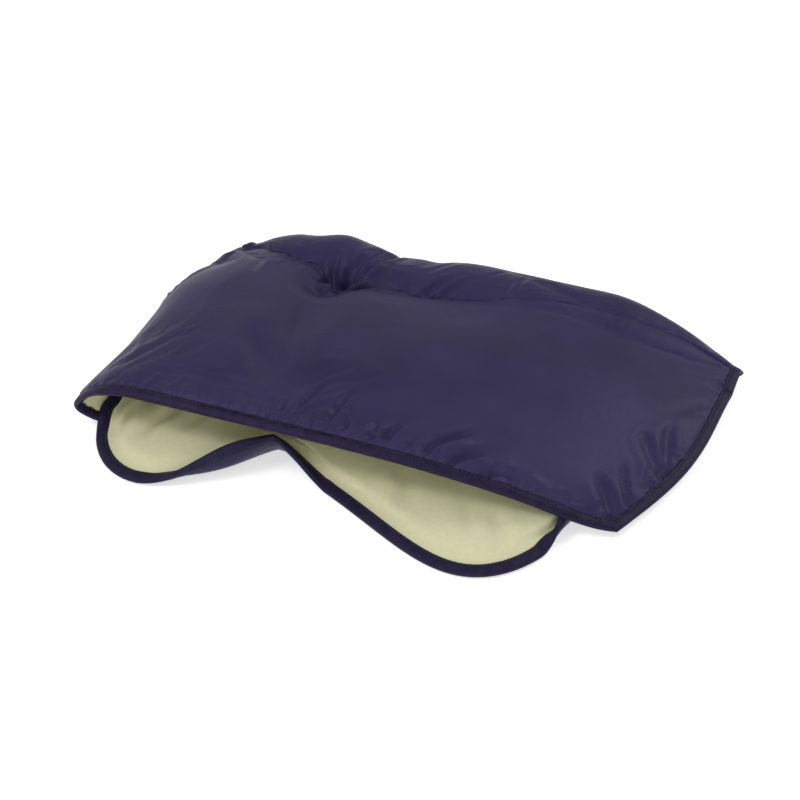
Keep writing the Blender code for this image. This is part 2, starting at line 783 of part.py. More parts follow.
def build():
    clear_scene()
    shell = material("shell_nylon", SHELL_NYLON)
    wadding = material("wadding", WADDING)
    lining = material("fleece_lining", FLEECE)
    edge = material("edge_tape", EDGE_TAPE)
    metal = material("stud_metal", STUD_METAL)
    finishes = (shell, wadding, lining)

    back_axis = axis_empty("back_fold_axis", Vector((0, BACK_Y, TUNNEL_RADIUS)))
    mouth_axis = axis_empty("mouth_fold_axis", Vector((0, SEAM_Y, SEAM_HEIGHT)), back_axis)

    columns = column_stations()
    sheet, seam = upper_lattice(columns)
    upper = sheet.part(0, seam, 0.0, SEAM_GAP)
    back = sheet.part(seam, sheet.along, SEAM_GAP, FIT)
    floor = lower_lattice(columns)
    lower = floor.part(0, floor.along, 0.0, FIT)

    upper_rows, back_rows = (upper.along,), (0,)
    _, upper_depth = panel("upper", upper, UPPER_LOFT, (True, False), upper_rows, finishes, mouth_axis)
    back_lining, back_depth = panel("back", back, BACK_LOFT, (False, False), back_rows, finishes, back_axis)
    lower_lining, lower_depth = panel("lower", lower, LOWER_LOFT, (True, False), (), finishes, None)

    tape("upper_binding", upper, upper_depth, three_sided_edge(upper), edge, mouth_axis)
    tape("lower_binding", lower, lower_depth, three_sided_edge(lower), edge, None)
    last = back.across
    left_side = [((0, j), (1, j)) for j in range(back.along + 1)]
    right_side = [((last, j), (last - 1, j)) for j in range(back.along + 1)]
    tape("back_binding_left", back, back_depth, left_side, edge, back_axis)
    tape("back_binding_right", back, back_depth, right_side, edge, back_axis)

    for name, x, meet in STUDS:
        press_stud(name, x, meet, (back_lining, lower_lining), metal, back_axis)


build()
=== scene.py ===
"""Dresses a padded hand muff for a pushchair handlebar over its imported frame.

The muff lies on a table, closed on its three press studs. Its outer pads are satin nylon over
wadding, its linings are fleece, and folded tape binds every free edge. The form follows the frame:
a tunnel for the handlebar at the back, an upper panel over the hands, and a lower panel with two
lobes. Units are metres. +X runs along the handlebar, -Y is the side of the hands, and +Z is up.
"""

import functools
import json
import math
import random
from collections import namedtuple

import bmesh
import bpy
import numpy as np
from bpy.props import FloatProperty, FloatVectorProperty, PointerProperty
from mathutils import Matrix, Vector, noise
from mathutils.bvhtree import BVHTree
from mathutils.kdtree import KDTree

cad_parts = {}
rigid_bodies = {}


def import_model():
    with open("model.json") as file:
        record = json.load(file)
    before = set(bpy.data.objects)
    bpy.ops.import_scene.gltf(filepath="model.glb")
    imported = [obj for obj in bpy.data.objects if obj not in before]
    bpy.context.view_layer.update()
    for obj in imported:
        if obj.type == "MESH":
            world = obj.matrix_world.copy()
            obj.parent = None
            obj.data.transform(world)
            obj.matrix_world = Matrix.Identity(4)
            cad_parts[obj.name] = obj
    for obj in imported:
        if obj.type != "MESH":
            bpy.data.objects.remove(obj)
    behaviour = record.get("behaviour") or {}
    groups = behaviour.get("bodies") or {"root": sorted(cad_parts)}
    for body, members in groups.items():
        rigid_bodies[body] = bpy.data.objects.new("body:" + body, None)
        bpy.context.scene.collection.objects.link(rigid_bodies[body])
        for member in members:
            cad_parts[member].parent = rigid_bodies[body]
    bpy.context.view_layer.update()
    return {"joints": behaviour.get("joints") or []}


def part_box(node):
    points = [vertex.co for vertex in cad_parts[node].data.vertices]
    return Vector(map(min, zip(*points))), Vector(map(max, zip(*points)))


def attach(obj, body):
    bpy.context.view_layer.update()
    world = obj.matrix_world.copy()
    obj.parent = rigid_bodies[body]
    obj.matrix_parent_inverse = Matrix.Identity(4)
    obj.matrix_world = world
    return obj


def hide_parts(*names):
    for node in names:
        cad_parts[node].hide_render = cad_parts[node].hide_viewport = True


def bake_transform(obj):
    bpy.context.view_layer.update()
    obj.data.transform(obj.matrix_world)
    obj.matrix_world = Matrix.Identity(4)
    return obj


bl_info = {
    "name": "Padded hand muff",
    "version": (1, 0, 0),
    "blender": (4, 5, 0),
    "location": "View3D > Sidebar > Hand muff",
    "description": "Dresses the frame of a padded hand muff in nylon, fleece and folded tape",
    "category": "Add Mesh",
}

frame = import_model()

# A fold's path is seen from above, its depth is a share of an ordinary fold's and less than 0 on a
# ridge, and its rise is the share of its length over which it starts
Fold = namedtuple("Fold", "path depth width rise", defaults=(0.08,))
Swell = namedtuple("Swell", "x y across along height")
Roll = namedtuple("Roll", "centre place reach cloth turn")
Surface = namedtuple("Surface", "net inner normal stations sharp")

# Places that the frame gives
HINGES = {joint["name"]: Vector(joint["pos_m"]) for joint in frame["joints"]}
SEAM_Y, SEAM_HEIGHT = HINGES["mouth_fold"].yz
BACK_Y, TUNNEL_RADIUS = HINGES["back_fold"].yz
TUNNEL_AXIS_Y = BACK_Y - TUNNEL_RADIUS
STUD_SIDES = ("left", "middle", "right")
SOCKETS = [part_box(f"{side}_socket") for side in STUD_SIDES]
FIT = 0.0003
STUD_Y = (SOCKETS[0][0].y + SOCKETS[0][1].y) / 2
STUDS = [((low.x + high.x) / 2, low.z - FIT) for low, high in SOCKETS]
SOCKET_HEIGHT = SOCKETS[0][1].z - SOCKETS[0][0].z

# Layers of a panel
SHELL_THICKNESS = 0.0012
LINING_THICKNESS = 0.0022
LAYER_GAP = 0.0003
RIM_PRESS = 0.55
UPPER_LOFT = 0.0105
BACK_LOFT = 0.0055
LOWER_LOFT = 0.0065
SEAM_LOFT = 0.0030
SEAM_RUN = 0.020
RIM_LOFT = 0.0008
LOFT_RUN = 0.060
PLUMP_RUN = 0.015
SEAT_SPACE = 0.0013
SEAT_THICKNESS = SHELL_THICKNESS + SEAT_SPACE + LINING_THICKNESS
STUD_BASE_HEIGHT = 0.0014

# Tunnel for the handlebar
TUNNEL_LEFT_X = -0.2665
TUNNEL_RIGHT_X = 0.2685
LEFT_END_RADIUS = 0.0140
LEFT_FLATTEN_X = -0.1795
LEFT_FLATTEN_POWER = 1.6
LEFT_END_SLANT = 0.018
RIGHT_END_RADIUS = 0.0105
RIGHT_FLATTEN_X = 0.1405
RIGHT_FLATTEN_POWER = 1.25
RIGHT_END_PULL = 0.010

# Upper panel
FRONT_RIGHT_X = 0.2265
FRONT_Y = -0.1330
CORNER_START_X = -0.0545
CORNER_SET_BACK = 0.034
CORNER_ROUND = 2.5
FRONT_HEIGHT = 0.054
CORNER_HEIGHT = 0.010
CORNER_SAG = 0.005
CORNER_SAG_PLACE = 6
RIGHT_BOW = 0.027
SIDE_ROUND = 2.5
CROWN = 0.012
LEFT_CROWN = 0.004
CROWN_ROUND = 0.7
GROOVE_DEPTH = 0.005
GROOVE_WIDTH = 0.024
GROOVE_LEAN = 1.4
GROOVE_FRONT_X = -0.0615

# Left side of the upper panel, where it turns down to the table
DRAPE_X = -0.2335
DRAPE_REACH = 0.036
DRAPE_CLOTH = 0.084
DRAPE_TURN = math.radians(165)
DRAPE_EDGE_HEIGHT = 0.008
DRAPE_PULL = 0.014
DRAPE_FADE = 3

# Lower panel
LOWER_LEFT_X = -0.2470
LOWER_RIGHT_X = 0.1875
NOTCH_X = -0.0780
NOTCH_Y = -0.1130
LOBE_END_Y = -0.1070
LEFT_LOBE_DEPTH = 0.0725
LEFT_LOBE_SKEW = 0.78
LEFT_LOBE_ROUND = 0.83
RIGHT_LOBE_DEPTH = 0.085
RIGHT_LOBE_SKEW = 2.33
RIGHT_LOBE_ROUND = 0.57
LOBE_BACK_Y = -0.0720
NOTCH_CURL = 0.026
NOTCH_LEFT_SPREAD = 0.062
NOTCH_RIGHT_SPREAD = 0.038
LEFT_CURL = 0.016
LEFT_CURL_START = -0.152
RIGHT_CURL = 0.005
CURL_RUN = 0.028
ROLLS = (
    Roll((0.130, -0.100), (0.190, -0.095), 0.055, 0.022, math.radians(150)),
    Roll((-0.190, -0.080), (-0.112, -0.138), 0.062, 0.016, math.radians(100)),
)
ROLL_FADE = 0.050
RIGHT_END_TUCK = 0.008
FLAT_CUT = 0.0005
EDGE_SAMPLES = 400

# Press studs pinch the panels together
SEAT_HALF = 0.0080
PINCH_RUN = 0.036
PINCH_BACK_RUN = 0.017

# The shell over the pinches, and where the tape draws its left end in
PINCH_HALF = 0.0020
PINCH_SET_BACK = 0.020
PINCH_FRONT_RUN = 0.062
PINCH = (STUDS[0][0], STUD_Y - PINCH_SET_BACK)
PINCH_SHARES = (0.92, 0.15, 0.12)
ROLL_RUN = 0.024
ROLL_START = 0.45
ROLL_RISE = 0.70
ROLL_DEPTH = 0.0060
ROLL_BULGE = 0.0050
CORNER_SINK = 0.42
CORNER_SINK_RUN = 0.120
EDGE_PUFF = 0.0035
SEAM_PUFF = 0.0020
PUFF_RUN = 0.024
BEND_REACH = 0.050

# Where the outer pads of the upper and back panels meet, as points seen from above
SEAM_LINE = (
    (-0.2665, 0.172),
    (-0.2220, 0.157),
    (-0.1970, 0.143),
    (-0.1750, 0.134),
    (-0.1550, 0.130),
    (-0.1390, 0.130),
    (-0.1260, 0.122),
    (-0.1165, 0.112),
    (-0.1050, 0.113),
    (-0.0890, 0.117),
    (-0.0600, 0.119),
    (-0.0260, 0.120),
    (0.0060, 0.124),
    (0.0510, 0.134),
    (0.0970, 0.144),
    (0.1510, 0.149),
    (0.1900, 0.156),
    (0.2290, 0.160),
    (0.2685, 0.158),
)

# How deep the seam lies between the plump pads
SEAM_SINK = (
    (-0.1390, 0.0),
    (-0.1165, 0.012),
    (-0.0890, 0.015),
    (-0.0750, 0.013),
    (-0.0490, 0.011),
    (-0.0260, 0.009),
    (0.0060, 0.003),
    (0.0510, 0.0),
)
SINK_FRONT_RUN = 0.055
SINK_BACK_RUN = 0.024

# Folded tape round the free edges
TAPE_WIDTH = 0.0080
TAPE_STACK = 0.0020
TAPE_STEP = 0.0030
TAPE_FIT = 0.0003
TAPE_NOSE = 0.0011
TAPE_PROFILE = (
    (0.0072, 0.0006),
    (0.0067, 0.0010),
    (0.0060, 0.0005),
    (0.0052, 0.0011),
    (0.0032, 0.0016),
    (0.0010, 0.0013),
)
NOSE_ANGLES = (68, 45, 22, 0, -22, -45, -68)
TAPE_NORMAL_PASSES = 3
CORNER_CLEAR = 0.0070
MITRE_LIMIT = 0.6
LOOK_CELLS = 12
STITCH_INSET = 0.0060
STITCH_HEIGHT = 0.0006
THREAD_RADIUS = 0.00032
STITCH_BATCH = 30

# Fineness of the nets
COLUMNS = 340
UPPER_ROWS = 108
BACK_ROWS = 64
LOWER_ROWS = 128
EDGE_LOOK = 0.004
BEND_SHARE = 0.35
CORNER_BEND_SHARE = 0.6
NEAR_EDGE = 0.011
NORMAL_PASSES = 4
SEAM_SOFTENING = 0.04
LAST_SEAM_STATION = 1.98
CREASE_REACH = 0.040
CREASE_PASSES = 260
BEND_PASSES = 200

# Folds
FOLD_FADE = 3
SHOULDER_PLACE = 1.7
SHOULDER_SHARE = 0.25
GATHER_LEAN = (-0.5, 0.5)
TAPE_HOLD = 0.75
GATHER_START = 0.003
GATHER_VALLEY = 0.55
SEAM_DIP_WIDTH = 0.005
CRUMPLE_REACH = 0.050
SEAM_GATHER_REACH = 0.070
SEAM_GATHER_SHARE = 0.15
SUNK_SHARE = 0.55

# Shares of the given run, width, height and spacing between which each gather is drawn
GATHER_RUNS = (0.4, 1.3)
GATHER_WIDTHS = (0.22, 0.42)
GATHER_RISES = (0.4, 1.2)
GATHER_GAPS = (0.6, 1.5)
GATHER_FADE = 1.3
GATHER_VALLEY_PLACE = 1.7
FAR = 1.0

# Reach and share of the height of the gathers along the front edge and the two sides
EDGE_GATHERS = ((0.026, 1.0), (0.020, 0.6), (0.022, 0.8))
EDGE_SEED = 20
SEAM_GATHER_HEIGHT = 0.8
SEAM_GATHER_SPACING = 1.2
SEAM_GATHER_RUN = 0.034
SEAM_SEEDS = (31, 32)
CRUMPLE_LENGTH = 0.050
CRUMPLE_SLANT = 0.030
CRUMPLE_WIDTH = 0.011
CRUMPLE_LEFT_X = -0.24
CRUMPLE_LEFT_RUN = 0.12
CRUMPLE_RIGHT_X = 0.17
CRUMPLE_RIGHT_RUN = 0.08
CRUMPLE_SEED = 7.0
BILLOW_SIZE = 0.075
BILLOW_SHIFT = Vector((3.0, 0, 0))
SEAM_DIPS = (0.0014, 0.0032)
SEAM_DIP_X = -0.05
SEAM_DIP_RUN = 0.1
LOFT_CHANGE = 0.2
RIM_HOLD = 0.6
RIM_FREE = 0.9
LINING_PLUMP = 1.3
LEAST_AREA = 0.31

# Small folds that radiate from the first pinch, with the shares between which each is drawn
SPOKES = 8
SPOKE_ANGLES = (math.radians(20), math.radians(165))
SPOKE_PLACES = (0.2, 0.8)
SPOKE_BENDS = (-0.25, 0.25)
SPOKE_REACH = 0.050
SPOKE_RUNS = (0.55, 1.2)
SPOKE_DEPTH = 0.4
SPOKE_DEPTHS = (0.5, 1.2)
SPOKE_WIDTH = 0.0030
SPOKE_WIDTHS = (0.7, 1.3)
SPOKE_SEED = 11

# Folds of the upper and back panels
TOP_FOLDS = (
    Fold((PINCH, (-0.106, 0.120), (-0.092, 0.140), (-0.082, 0.162), (-0.076, 0.185)), 1.6, 0.0042),
    Fold((PINCH, (-0.108, 0.132), (-0.098, 0.152), (-0.088, 0.172)), 1.7, 0.0055),
    Fold(((-0.113, 0.122), (-0.119, 0.136), (-0.127, 0.152)), -1.1, 0.0034),
    Fold((PINCH, (-0.123, 0.124), (-0.134, 0.138)), 1.2, 0.0034),
    Fold(((-0.103, 0.112), (-0.086, 0.132), (-0.072, 0.156)), -0.6, 0.0040),
    Fold(((-0.112, 0.098), (-0.125, 0.100), (-0.140, 0.097)), -2.6, 0.0075, 0.3),
    Fold(((-0.118, 0.104), (-0.128, 0.106)), 0.7, 0.0022),
    Fold(((-0.030, 0.122), (-0.022, 0.134), (-0.006, 0.148)), 0.9, 0.0030, 0.1),
    Fold(((-0.014, 0.124), (0.000, 0.138), (0.010, 0.150)), 0.7, 0.0030, 0.1),
    Fold(((-0.080, 0.106), (-0.055, 0.110), (-0.034, 0.112)), -0.5, 0.0030),
    Fold(((-0.120, 0.050), (-0.115, 0.020), (-0.098, -0.031), (-0.071, -0.094)), 0.35, 0.0045, 0.5),
    Fold(
        ((-0.150, 0.004), (-0.133, -0.028), (-0.114, -0.054), (-0.095, -0.080), (-0.070, -0.108)),
        1.7, 0.0110, 0.5,
    ),
    Fold(((-0.055, -0.112), (-0.050, -0.090), (-0.043, -0.068)), 0.8, 0.0030, 0.1),
    Fold(((-0.068, -0.116), (-0.068, -0.100)), 0.8, 0.0030, 0.1),
    Fold(((-0.024, -0.118), (-0.022, -0.098), (-0.018, -0.072)), 0.9, 0.0030, 0.1),
    Fold(((-0.008, -0.120), (-0.009, -0.096)), 0.8, 0.0028, 0.1),
    Fold(((0.018, -0.122), (0.015, -0.096)), 0.9, 0.0030, 0.1),
    Fold(((0.028, -0.118), (0.030, -0.108), (0.036, -0.092)), 1.3, 0.0038, 0.1),
    Fold(((0.048, -0.120), (0.053, -0.102)), 0.9, 0.0030, 0.1),
    Fold(((0.064, -0.121), (0.069, -0.104), (0.100, -0.070)), 1.2, 0.0034, 0.1),
    Fold(((0.076, -0.112), (0.096, -0.088)), -0.7, 0.0040, 0.1),
    Fold(((0.084, -0.119), (0.094, -0.108), (0.110, -0.092)), 1.6, 0.0044, 0.1),
    Fold(((0.112, -0.116), (0.126, -0.107), (0.148, -0.102)), 1.6, 0.0040, 0.1),
    Fold(((0.146, -0.098), (0.168, -0.098)), -0.6, 0.0045, 0.1),
    Fold(((-0.040, 0.139), (-0.024, 0.165), (-0.010, 0.180)), 0.35, 0.004, 0.3),
    Fold(((0.020, 0.150), (0.030, 0.166), (0.036, 0.176)), 0.35, 0.003, 0.3),
    Fold(((0.049, 0.136), (0.055, 0.170)), 0.7, 0.004, 0.2),
    Fold(((0.222, -0.096), (0.214, -0.080), (0.206, -0.070), (0.194, -0.058)), 1.5, 0.0055, 0.1),
    Fold(((0.216, -0.100), (0.204, -0.090)), 0.7, 0.0030, 0.1),
    Fold(((0.233, -0.080), (0.222, -0.060), (0.215, -0.046), (0.209, -0.030)), 0.9, 0.0028, 0.1),
    Fold(((0.241, -0.044), (0.233, -0.032), (0.230, -0.018)), 0.8, 0.0028, 0.1),
    Fold(((0.246, -0.026), (0.234, -0.014), (0.226, -0.004), (0.210, 0.014)), 1.1, 0.0055, 0.1),
    Fold(((0.247, -0.018), (0.240, 0.000), (0.236, 0.018), (0.232, 0.044)), 1.0, 0.0055, 0.1),
    Fold(((0.252, -0.002), (0.246, 0.010)), 0.7, 0.0030, 0.1),
)

# Soft folds of the lower panel's lining
LINING_FOLDS = (
    Fold(((-0.226, -0.085), (-0.222, -0.110), (-0.219, -0.145)), 1.0, 0.0060, 0.4),
    Fold(((-0.212, -0.060), (-0.212, -0.080), (-0.209, -0.098)), 0.8, 0.0050, 0.4),
    Fold(((-0.190, -0.090), (-0.191, -0.111), (-0.193, -0.140)), 0.9, 0.0060, 0.4),
    Fold(((-0.182, -0.055), (-0.185, -0.080), (-0.184, -0.112)), 0.8, 0.0060, 0.4),
    Fold(((-0.150, -0.060), (-0.158, -0.085), (-0.162, -0.118)), 0.7, 0.0070, 0.4),
    Fold(((0.030, -0.070), (0.040, -0.095), (0.058, -0.145)), 0.7, 0.0090, 0.5),
    Fold(((0.095, -0.090), (0.105, -0.120), (0.120, -0.160)), 0.4, 0.0090, 0.5),
    Fold(((0.125, -0.110), (0.137, -0.139), (0.154, -0.172)), 0.7, 0.0080, 0.5),
)

# The row at the back seam keeps its place, so that the pads meet there
BACK_HOLD = 0.30

# Broad rises and hollows of the outer face
SWELLS = (
    Swell(-0.266, -0.040, 0.030, 0.085, -0.0120),
    Swell(-0.240, 0.170, 0.030, 0.040, -0.0028),
    Swell(-0.195, 0.180, 0.030, 0.040, -0.0030),
    Swell(-0.085, -0.035, 0.024, 0.060, 0.0030),
    Swell(-0.135, 0.185, 0.022, 0.035, 0.0050),
    Swell(-0.075, 0.180, 0.020, 0.040, -0.0060),
    Swell(-0.040, 0.182, 0.018, 0.035, -0.0035),
    Swell(0.010, 0.183, 0.030, 0.030, 0.0025),
    Swell(0.250, 0.150, 0.030, 0.040, -0.0060),
)

# Settling of the filled pads
FOUNDATION = 0.04
CLOTH_QUALITY = 6
CLOTH_MASS = 0.3
CLOTH_STIFFNESS = 25
CLOTH_BENDING = 0.4
PIN_STIFFNESS = 1.0
PAD_PRESSURE = 2.0
SETTLE_FRAMES = 20
MOST_MOVE = 0.004
MERGE = 0.000001

# Where the fabric bends when the muff opens
MOUTH = ("back_panel", "upper_panel", (0, SEAM_Y, SEAM_HEIGHT), (0, SEAM_Y - 0.055, SEAM_HEIGHT))
BACK_START = (0, BACK_Y, TUNNEL_RADIUS)
BACK_END = (0, BACK_Y - 0.0050, TUNNEL_RADIUS + 0.0077)
BACK = ("lower_panel", "back_panel", BACK_START, BACK_END)

# Stage
CAMERA_AZIMUTH = math.radians(22.1)
CAMERA_ELEVATION = math.radians(34.5)
CAMERA_DISTANCE = 1.6
CAMERA_TARGET = (0.0009, -0.0143, 0.025)
CAMERA_LENS = 81.0
CAMERA_SENSOR = 36.0
FLOOR_HALF = 30.0
FLOOR_GLOW = 0.55
WORLD_LIGHT = 0.50
LAMPS = (
    ("key", (-1.1, -1.0, 1.8), 0.9, 16.0),
    ("front", (0.8, -2.0, 0.5), 1.2, 14.0),
    ("side", (1.2, 1.6, 1.6), 0.9, 14.0),
)

GROUPS = {}
MATERIALS = {}
SURFACES = {}


def lerp(a, b, t):
    return a + (b - a) * t


def clamp(t):
    return min(1.0, max(0.0, t))


def smooth(t):
    t = clamp(t)
    return t * t * (3 - 2 * t)


def share(x, start, end):
    """How far x is from start to end, held between 0 and 1."""
    return clamp((x - start) / (end - start))


def eased(t):
    """smooth() for an array."""
    t = np.clip(t, 0, 1)
    return t * t * (3 - 2 * t)


# The form of the muff, without its folds


def tunnel_radius(x):
    if x < 0:
        flat = share(x, LEFT_FLATTEN_X, TUNNEL_LEFT_X) ** LEFT_FLATTEN_POWER
        return lerp(TUNNEL_RADIUS, LEFT_END_RADIUS, flat)
    flat = share(x, RIGHT_FLATTEN_X, TUNNEL_RIGHT_X) ** RIGHT_FLATTEN_POWER
    return lerp(TUNNEL_RADIUS, RIGHT_END_RADIUS, flat)


def tunnel_y(x):
    return TUNNEL_AXIS_Y - RIGHT_END_PULL * share(x, RIGHT_FLATTEN_X, TUNNEL_RIGHT_X) ** 2


def seat_field(net, half, set_back=0.0, front_run=PINCH_RUN, back_run=PINCH_BACK_RUN):
    """1 on each press stud's seat, falling to 0 around it: one array for each stud."""
    x, y = net[..., 0], net[..., 1] + set_back
    run = np.where(y > STUD_Y, back_run, front_run)
    along = np.maximum(0, np.abs(y - STUD_Y) - half) / run
    fields = []
    for stud_x, _ in STUDS:
        aside = np.maximum(0, np.abs(x - stud_x) - half) / PINCH_RUN
        fields.append(1 - eased(np.hypot(aside, along)))
    return fields


def drape(cloth_x):
    """Where a point of the cloth lies once it is turned down at the left, and its share of the fall."""
    if cloth_x >= DRAPE_X:
        return cloth_x, 0.0
    turned = DRAPE_TURN * (DRAPE_X - cloth_x) / DRAPE_CLOTH
    fallen = (1 - math.cos(turned)) / (1 - math.cos(DRAPE_TURN))
    return DRAPE_X - DRAPE_REACH * math.sin(turned), fallen


def back_x(x, y):
    """Where a column crosses a line across the tunnel, with its left end slanted."""
    slant = LEFT_END_SLANT * share(x, LEFT_FLATTEN_X, TUNNEL_LEFT_X)
    return drape(x)[0] + slant * smooth(share(y, SEAM_Y, BACK_Y))


def front_cloth_x(x):
    """Where a column of the back panel ends on the front edge, measured along the cloth."""
    return lerp(DRAPE_X - DRAPE_CLOTH, FRONT_RIGHT_X, share(x, TUNNEL_LEFT_X, TUNNEL_RIGHT_X))


def front_edge(cloth_x):
    """(y, z) of the front edge before it is turned down at the left."""
    along = share(cloth_x, CORNER_START_X, FRONT_RIGHT_X)
    turned = along**CORNER_ROUND
    sag = CORNER_SAG * math.sin(math.pi * along**CORNER_SAG_PLACE)
    return FRONT_Y + CORNER_SET_BACK * turned, lerp(FRONT_HEIGHT, CORNER_HEIGHT, turned) - sag


def seam_height(x):
    return tunnel_radius(x) * SEAM_HEIGHT / TUNNEL_RADIUS


def crown(x, v):
    side = lerp(LEFT_CROWN, CROWN, smooth(share(x, DRAPE_X, CORNER_START_X)))
    right = 1 - share(x, CORNER_START_X, TUNNEL_RIGHT_X) ** 3
    return side * right * (4 * v * (1 - v)) ** CROWN_ROUND


def groove(x, y):
    """The long valley from the left press stud to the front edge."""
    along = share(y, STUD_Y, FRONT_Y)
    line_x = lerp(STUDS[0][0], GROOVE_FRONT_X, along**GROOVE_LEAN)
    return GROOVE_DEPTH * math.exp(-(((x - line_x) / GROOVE_WIDTH) ** 2)) * math.sin(math.pi * along)


def upper_point(x, v):
    """A point of the upper panel: v runs from 0 at the front edge to 1 at the front seam."""
    cloth_front = front_cloth_x(x)
    cloth_x = lerp(cloth_front, x, v**SIDE_ROUND)
    front_y, front_z = front_edge(cloth_front)
    bow = RIGHT_BOW * math.sin(math.pi * v) * share(x, CORNER_START_X, TUNNEL_RIGHT_X) ** 2
    place_x, fallen = drape(cloth_x + bow)
    y = lerp(front_y + DRAPE_PULL * share(cloth_x, DRAPE_X, DRAPE_X - DRAPE_CLOTH), SEAM_Y, v)
    z = lerp(front_z, seam_height(x), v * v) + crown(x, v) - groove(cloth_x, y)
    z = lerp(z, DRAPE_EDGE_HEIGHT, fallen * (1 - v**DRAPE_FADE))
    return place_x, y, z


def back_point(x, y):
    """A point of the back panel between its front seam and the crest of the tunnel."""
    crest_y, radius = tunnel_y(x), tunnel_radius(x)
    down = share(y, crest_y, SEAM_Y)
    z = 2 * radius - (2 * radius - seam_height(x)) * down**2
    return back_x(x, y), y, z


def arc_point(x, angle):
    """A point on the round back of the tunnel: 0 is at the back seam and a right angle at the crest."""
    radius = tunnel_radius(x)
    y = tunnel_y(x) + radius * math.cos(angle)
    return back_x(x, y), y, radius + radius * math.sin(angle)


def top_point(x, t):
    """The outer face over the hands and the tunnel: t is 0 at the front edge, 1 at the front seam of
    the frame, 2 at the crest of the tunnel and 3 at the back seam."""
    if t <= 1:
        return upper_point(x, t)
    if t <= 2:
        return back_point(x, lerp(SEAM_Y, tunnel_y(x), t - 1))
    return arc_point(x, (3 - t) * math.pi / 2)


def lobe_edge(x):
    """y of the front edge of the lower panel: a short round lobe, a notch, and a long skewed lobe."""
    if x < NOTCH_X:
        along = share(x, LOWER_LEFT_X, NOTCH_X)
        bulge = math.sin(math.pi * along**LEFT_LOBE_SKEW) ** LEFT_LOBE_ROUND
        return lerp(LOBE_END_Y, NOTCH_Y, along) - LEFT_LOBE_DEPTH * bulge
    along = share(x, NOTCH_X, LOWER_RIGHT_X)
    bulge = math.sin(math.pi * along**RIGHT_LOBE_SKEW) ** RIGHT_LOBE_ROUND
    return lerp(NOTCH_Y, LOBE_END_Y, along) - RIGHT_LOBE_DEPTH * bulge


def lobe_of(x):
    """The ends of the lobe that a column of the tunnel runs to, and how far along it the column is."""
    if x < NOTCH_X:
        return LOWER_LEFT_X, NOTCH_X, share(x, TUNNEL_LEFT_X, NOTCH_X)
    return NOTCH_X, LOWER_RIGHT_X, share(x, NOTCH_X, TUNNEL_RIGHT_X)


def edge_point(x):
    """Where a column of the tunnel ends on the lobed edge, evenly spaced along each lobe."""
    start, end, along = lobe_of(x)
    xs, ys, runs = lobe_samples(start, end)
    here = along * runs[-1]
    return Vector((np.interp(here, runs, xs), np.interp(here, runs, ys)))


@functools.cache
def lobe_samples(start, end):
    """Points along a lobe's edge and the distance run to each."""
    xs = start + (end - start) * (1 - np.cos(np.linspace(0, math.pi, EDGE_SAMPLES))) / 2
    ys = np.array([lobe_edge(sample) for sample in xs.tolist()])
    return xs, ys, np.append(0, np.cumsum(np.hypot(np.diff(xs), np.diff(ys))))


def level_x(x, y):
    """Where a column crosses a level line behind the lobes."""
    start, end, along = lobe_of(x)
    return lerp(lerp(start, end, along), back_x(x, y), share(y, LOBE_END_Y, SEAM_Y))


def lower_height(x, y, front_y):
    """Height of the underside, which curls up at the notch and the sides."""
    spread = NOTCH_LEFT_SPREAD if x < NOTCH_X else NOTCH_RIGHT_SPREAD
    notch = NOTCH_CURL * math.exp(-(((x - NOTCH_X) / spread) ** 2))
    notch *= (1 - share(y, front_y, front_y + CURL_RUN)) ** 2
    left_x, right_x = level_x(TUNNEL_LEFT_X, y), level_x(TUNNEL_RIGHT_X, y)
    left = LEFT_CURL * (1 - share(x, left_x, left_x + CURL_RUN)) ** 2
    left *= smooth(share(y, LEFT_CURL_START, LOBE_END_Y)) * (1 - smooth(share(y, 0.0, SEAM_Y - CURL_RUN)))
    right = RIGHT_CURL * (1 - share(x, right_x, right_x - CURL_RUN)) ** 2
    right *= 1 - smooth(share(y, LOBE_BACK_Y, 0.0))
    return max(0.0, notch + left + right - FLAT_CUT)


def lobe_column(x):
    """A column of the lower panel as a function of t: 0 on the lobed edge, 1 where the lobes end, 2 under
    the tunnel's axis and 3 at the back seam. It leaves the edge square to it."""
    edge = edge_point(x)
    run = edge_point(x + EDGE_LOOK) - edge_point(x - EDGE_LOOK)
    inward = Vector((-run.y, run.x)).normalized()
    start = Vector((level_x(x, LOBE_BACK_Y), LOBE_BACK_Y))
    reach = BEND_SHARE * (start - edge).length
    from_end = min(x - TUNNEL_LEFT_X, TUNNEL_RIGHT_X - x)
    if from_end < MERGE:
        inward = Vector((0, 1))
    else:
        reach = min(reach, CORNER_BEND_SHARE * from_end)
    bends = edge + inward * reach, start - Vector((0, BEND_SHARE * (start.y - edge.y)))

    def point(t):
        if t > 2:
            return arc_point(x, (t - 3) * math.pi / 2)
        if t > 1:
            y = lerp(LOBE_BACK_Y, tunnel_y(x), t - 1)
            place = Vector((level_x(x, y), y))
        else:
            s = 1 - t
            place = s**3 * edge + 3 * s * s * t * bends[0] + 3 * s * t * t * bends[1] + t**3 * start
        return place.x, place.y, lower_height(place.x, place.y, edge.y)

    return point


# Nets: an array of points, column by column along the handlebar and row by row from front to back


def columns(count):
    return np.linspace(TUNNEL_LEFT_X, TUNNEL_RIGHT_X, count + 1)


def along_columns(table, xs):
    """A value given at a few places along the handlebar, for each column, with its corners rounded."""
    places, values = zip(*table)
    return softened(np.interp(xs, places, values), round(SEAM_SOFTENING * len(xs)))


def seam_stations(xs):
    """t of the seam between the outer pads, for each column."""
    crest_y = np.array([tunnel_y(x) for x in xs])
    behind = along_columns(SEAM_LINE, xs) - SEAM_Y
    run = np.where(behind > 0, crest_y - SEAM_Y, SEAM_Y - FRONT_Y)
    return np.clip(1 + behind / run, 0, LAST_SEAM_STATION)


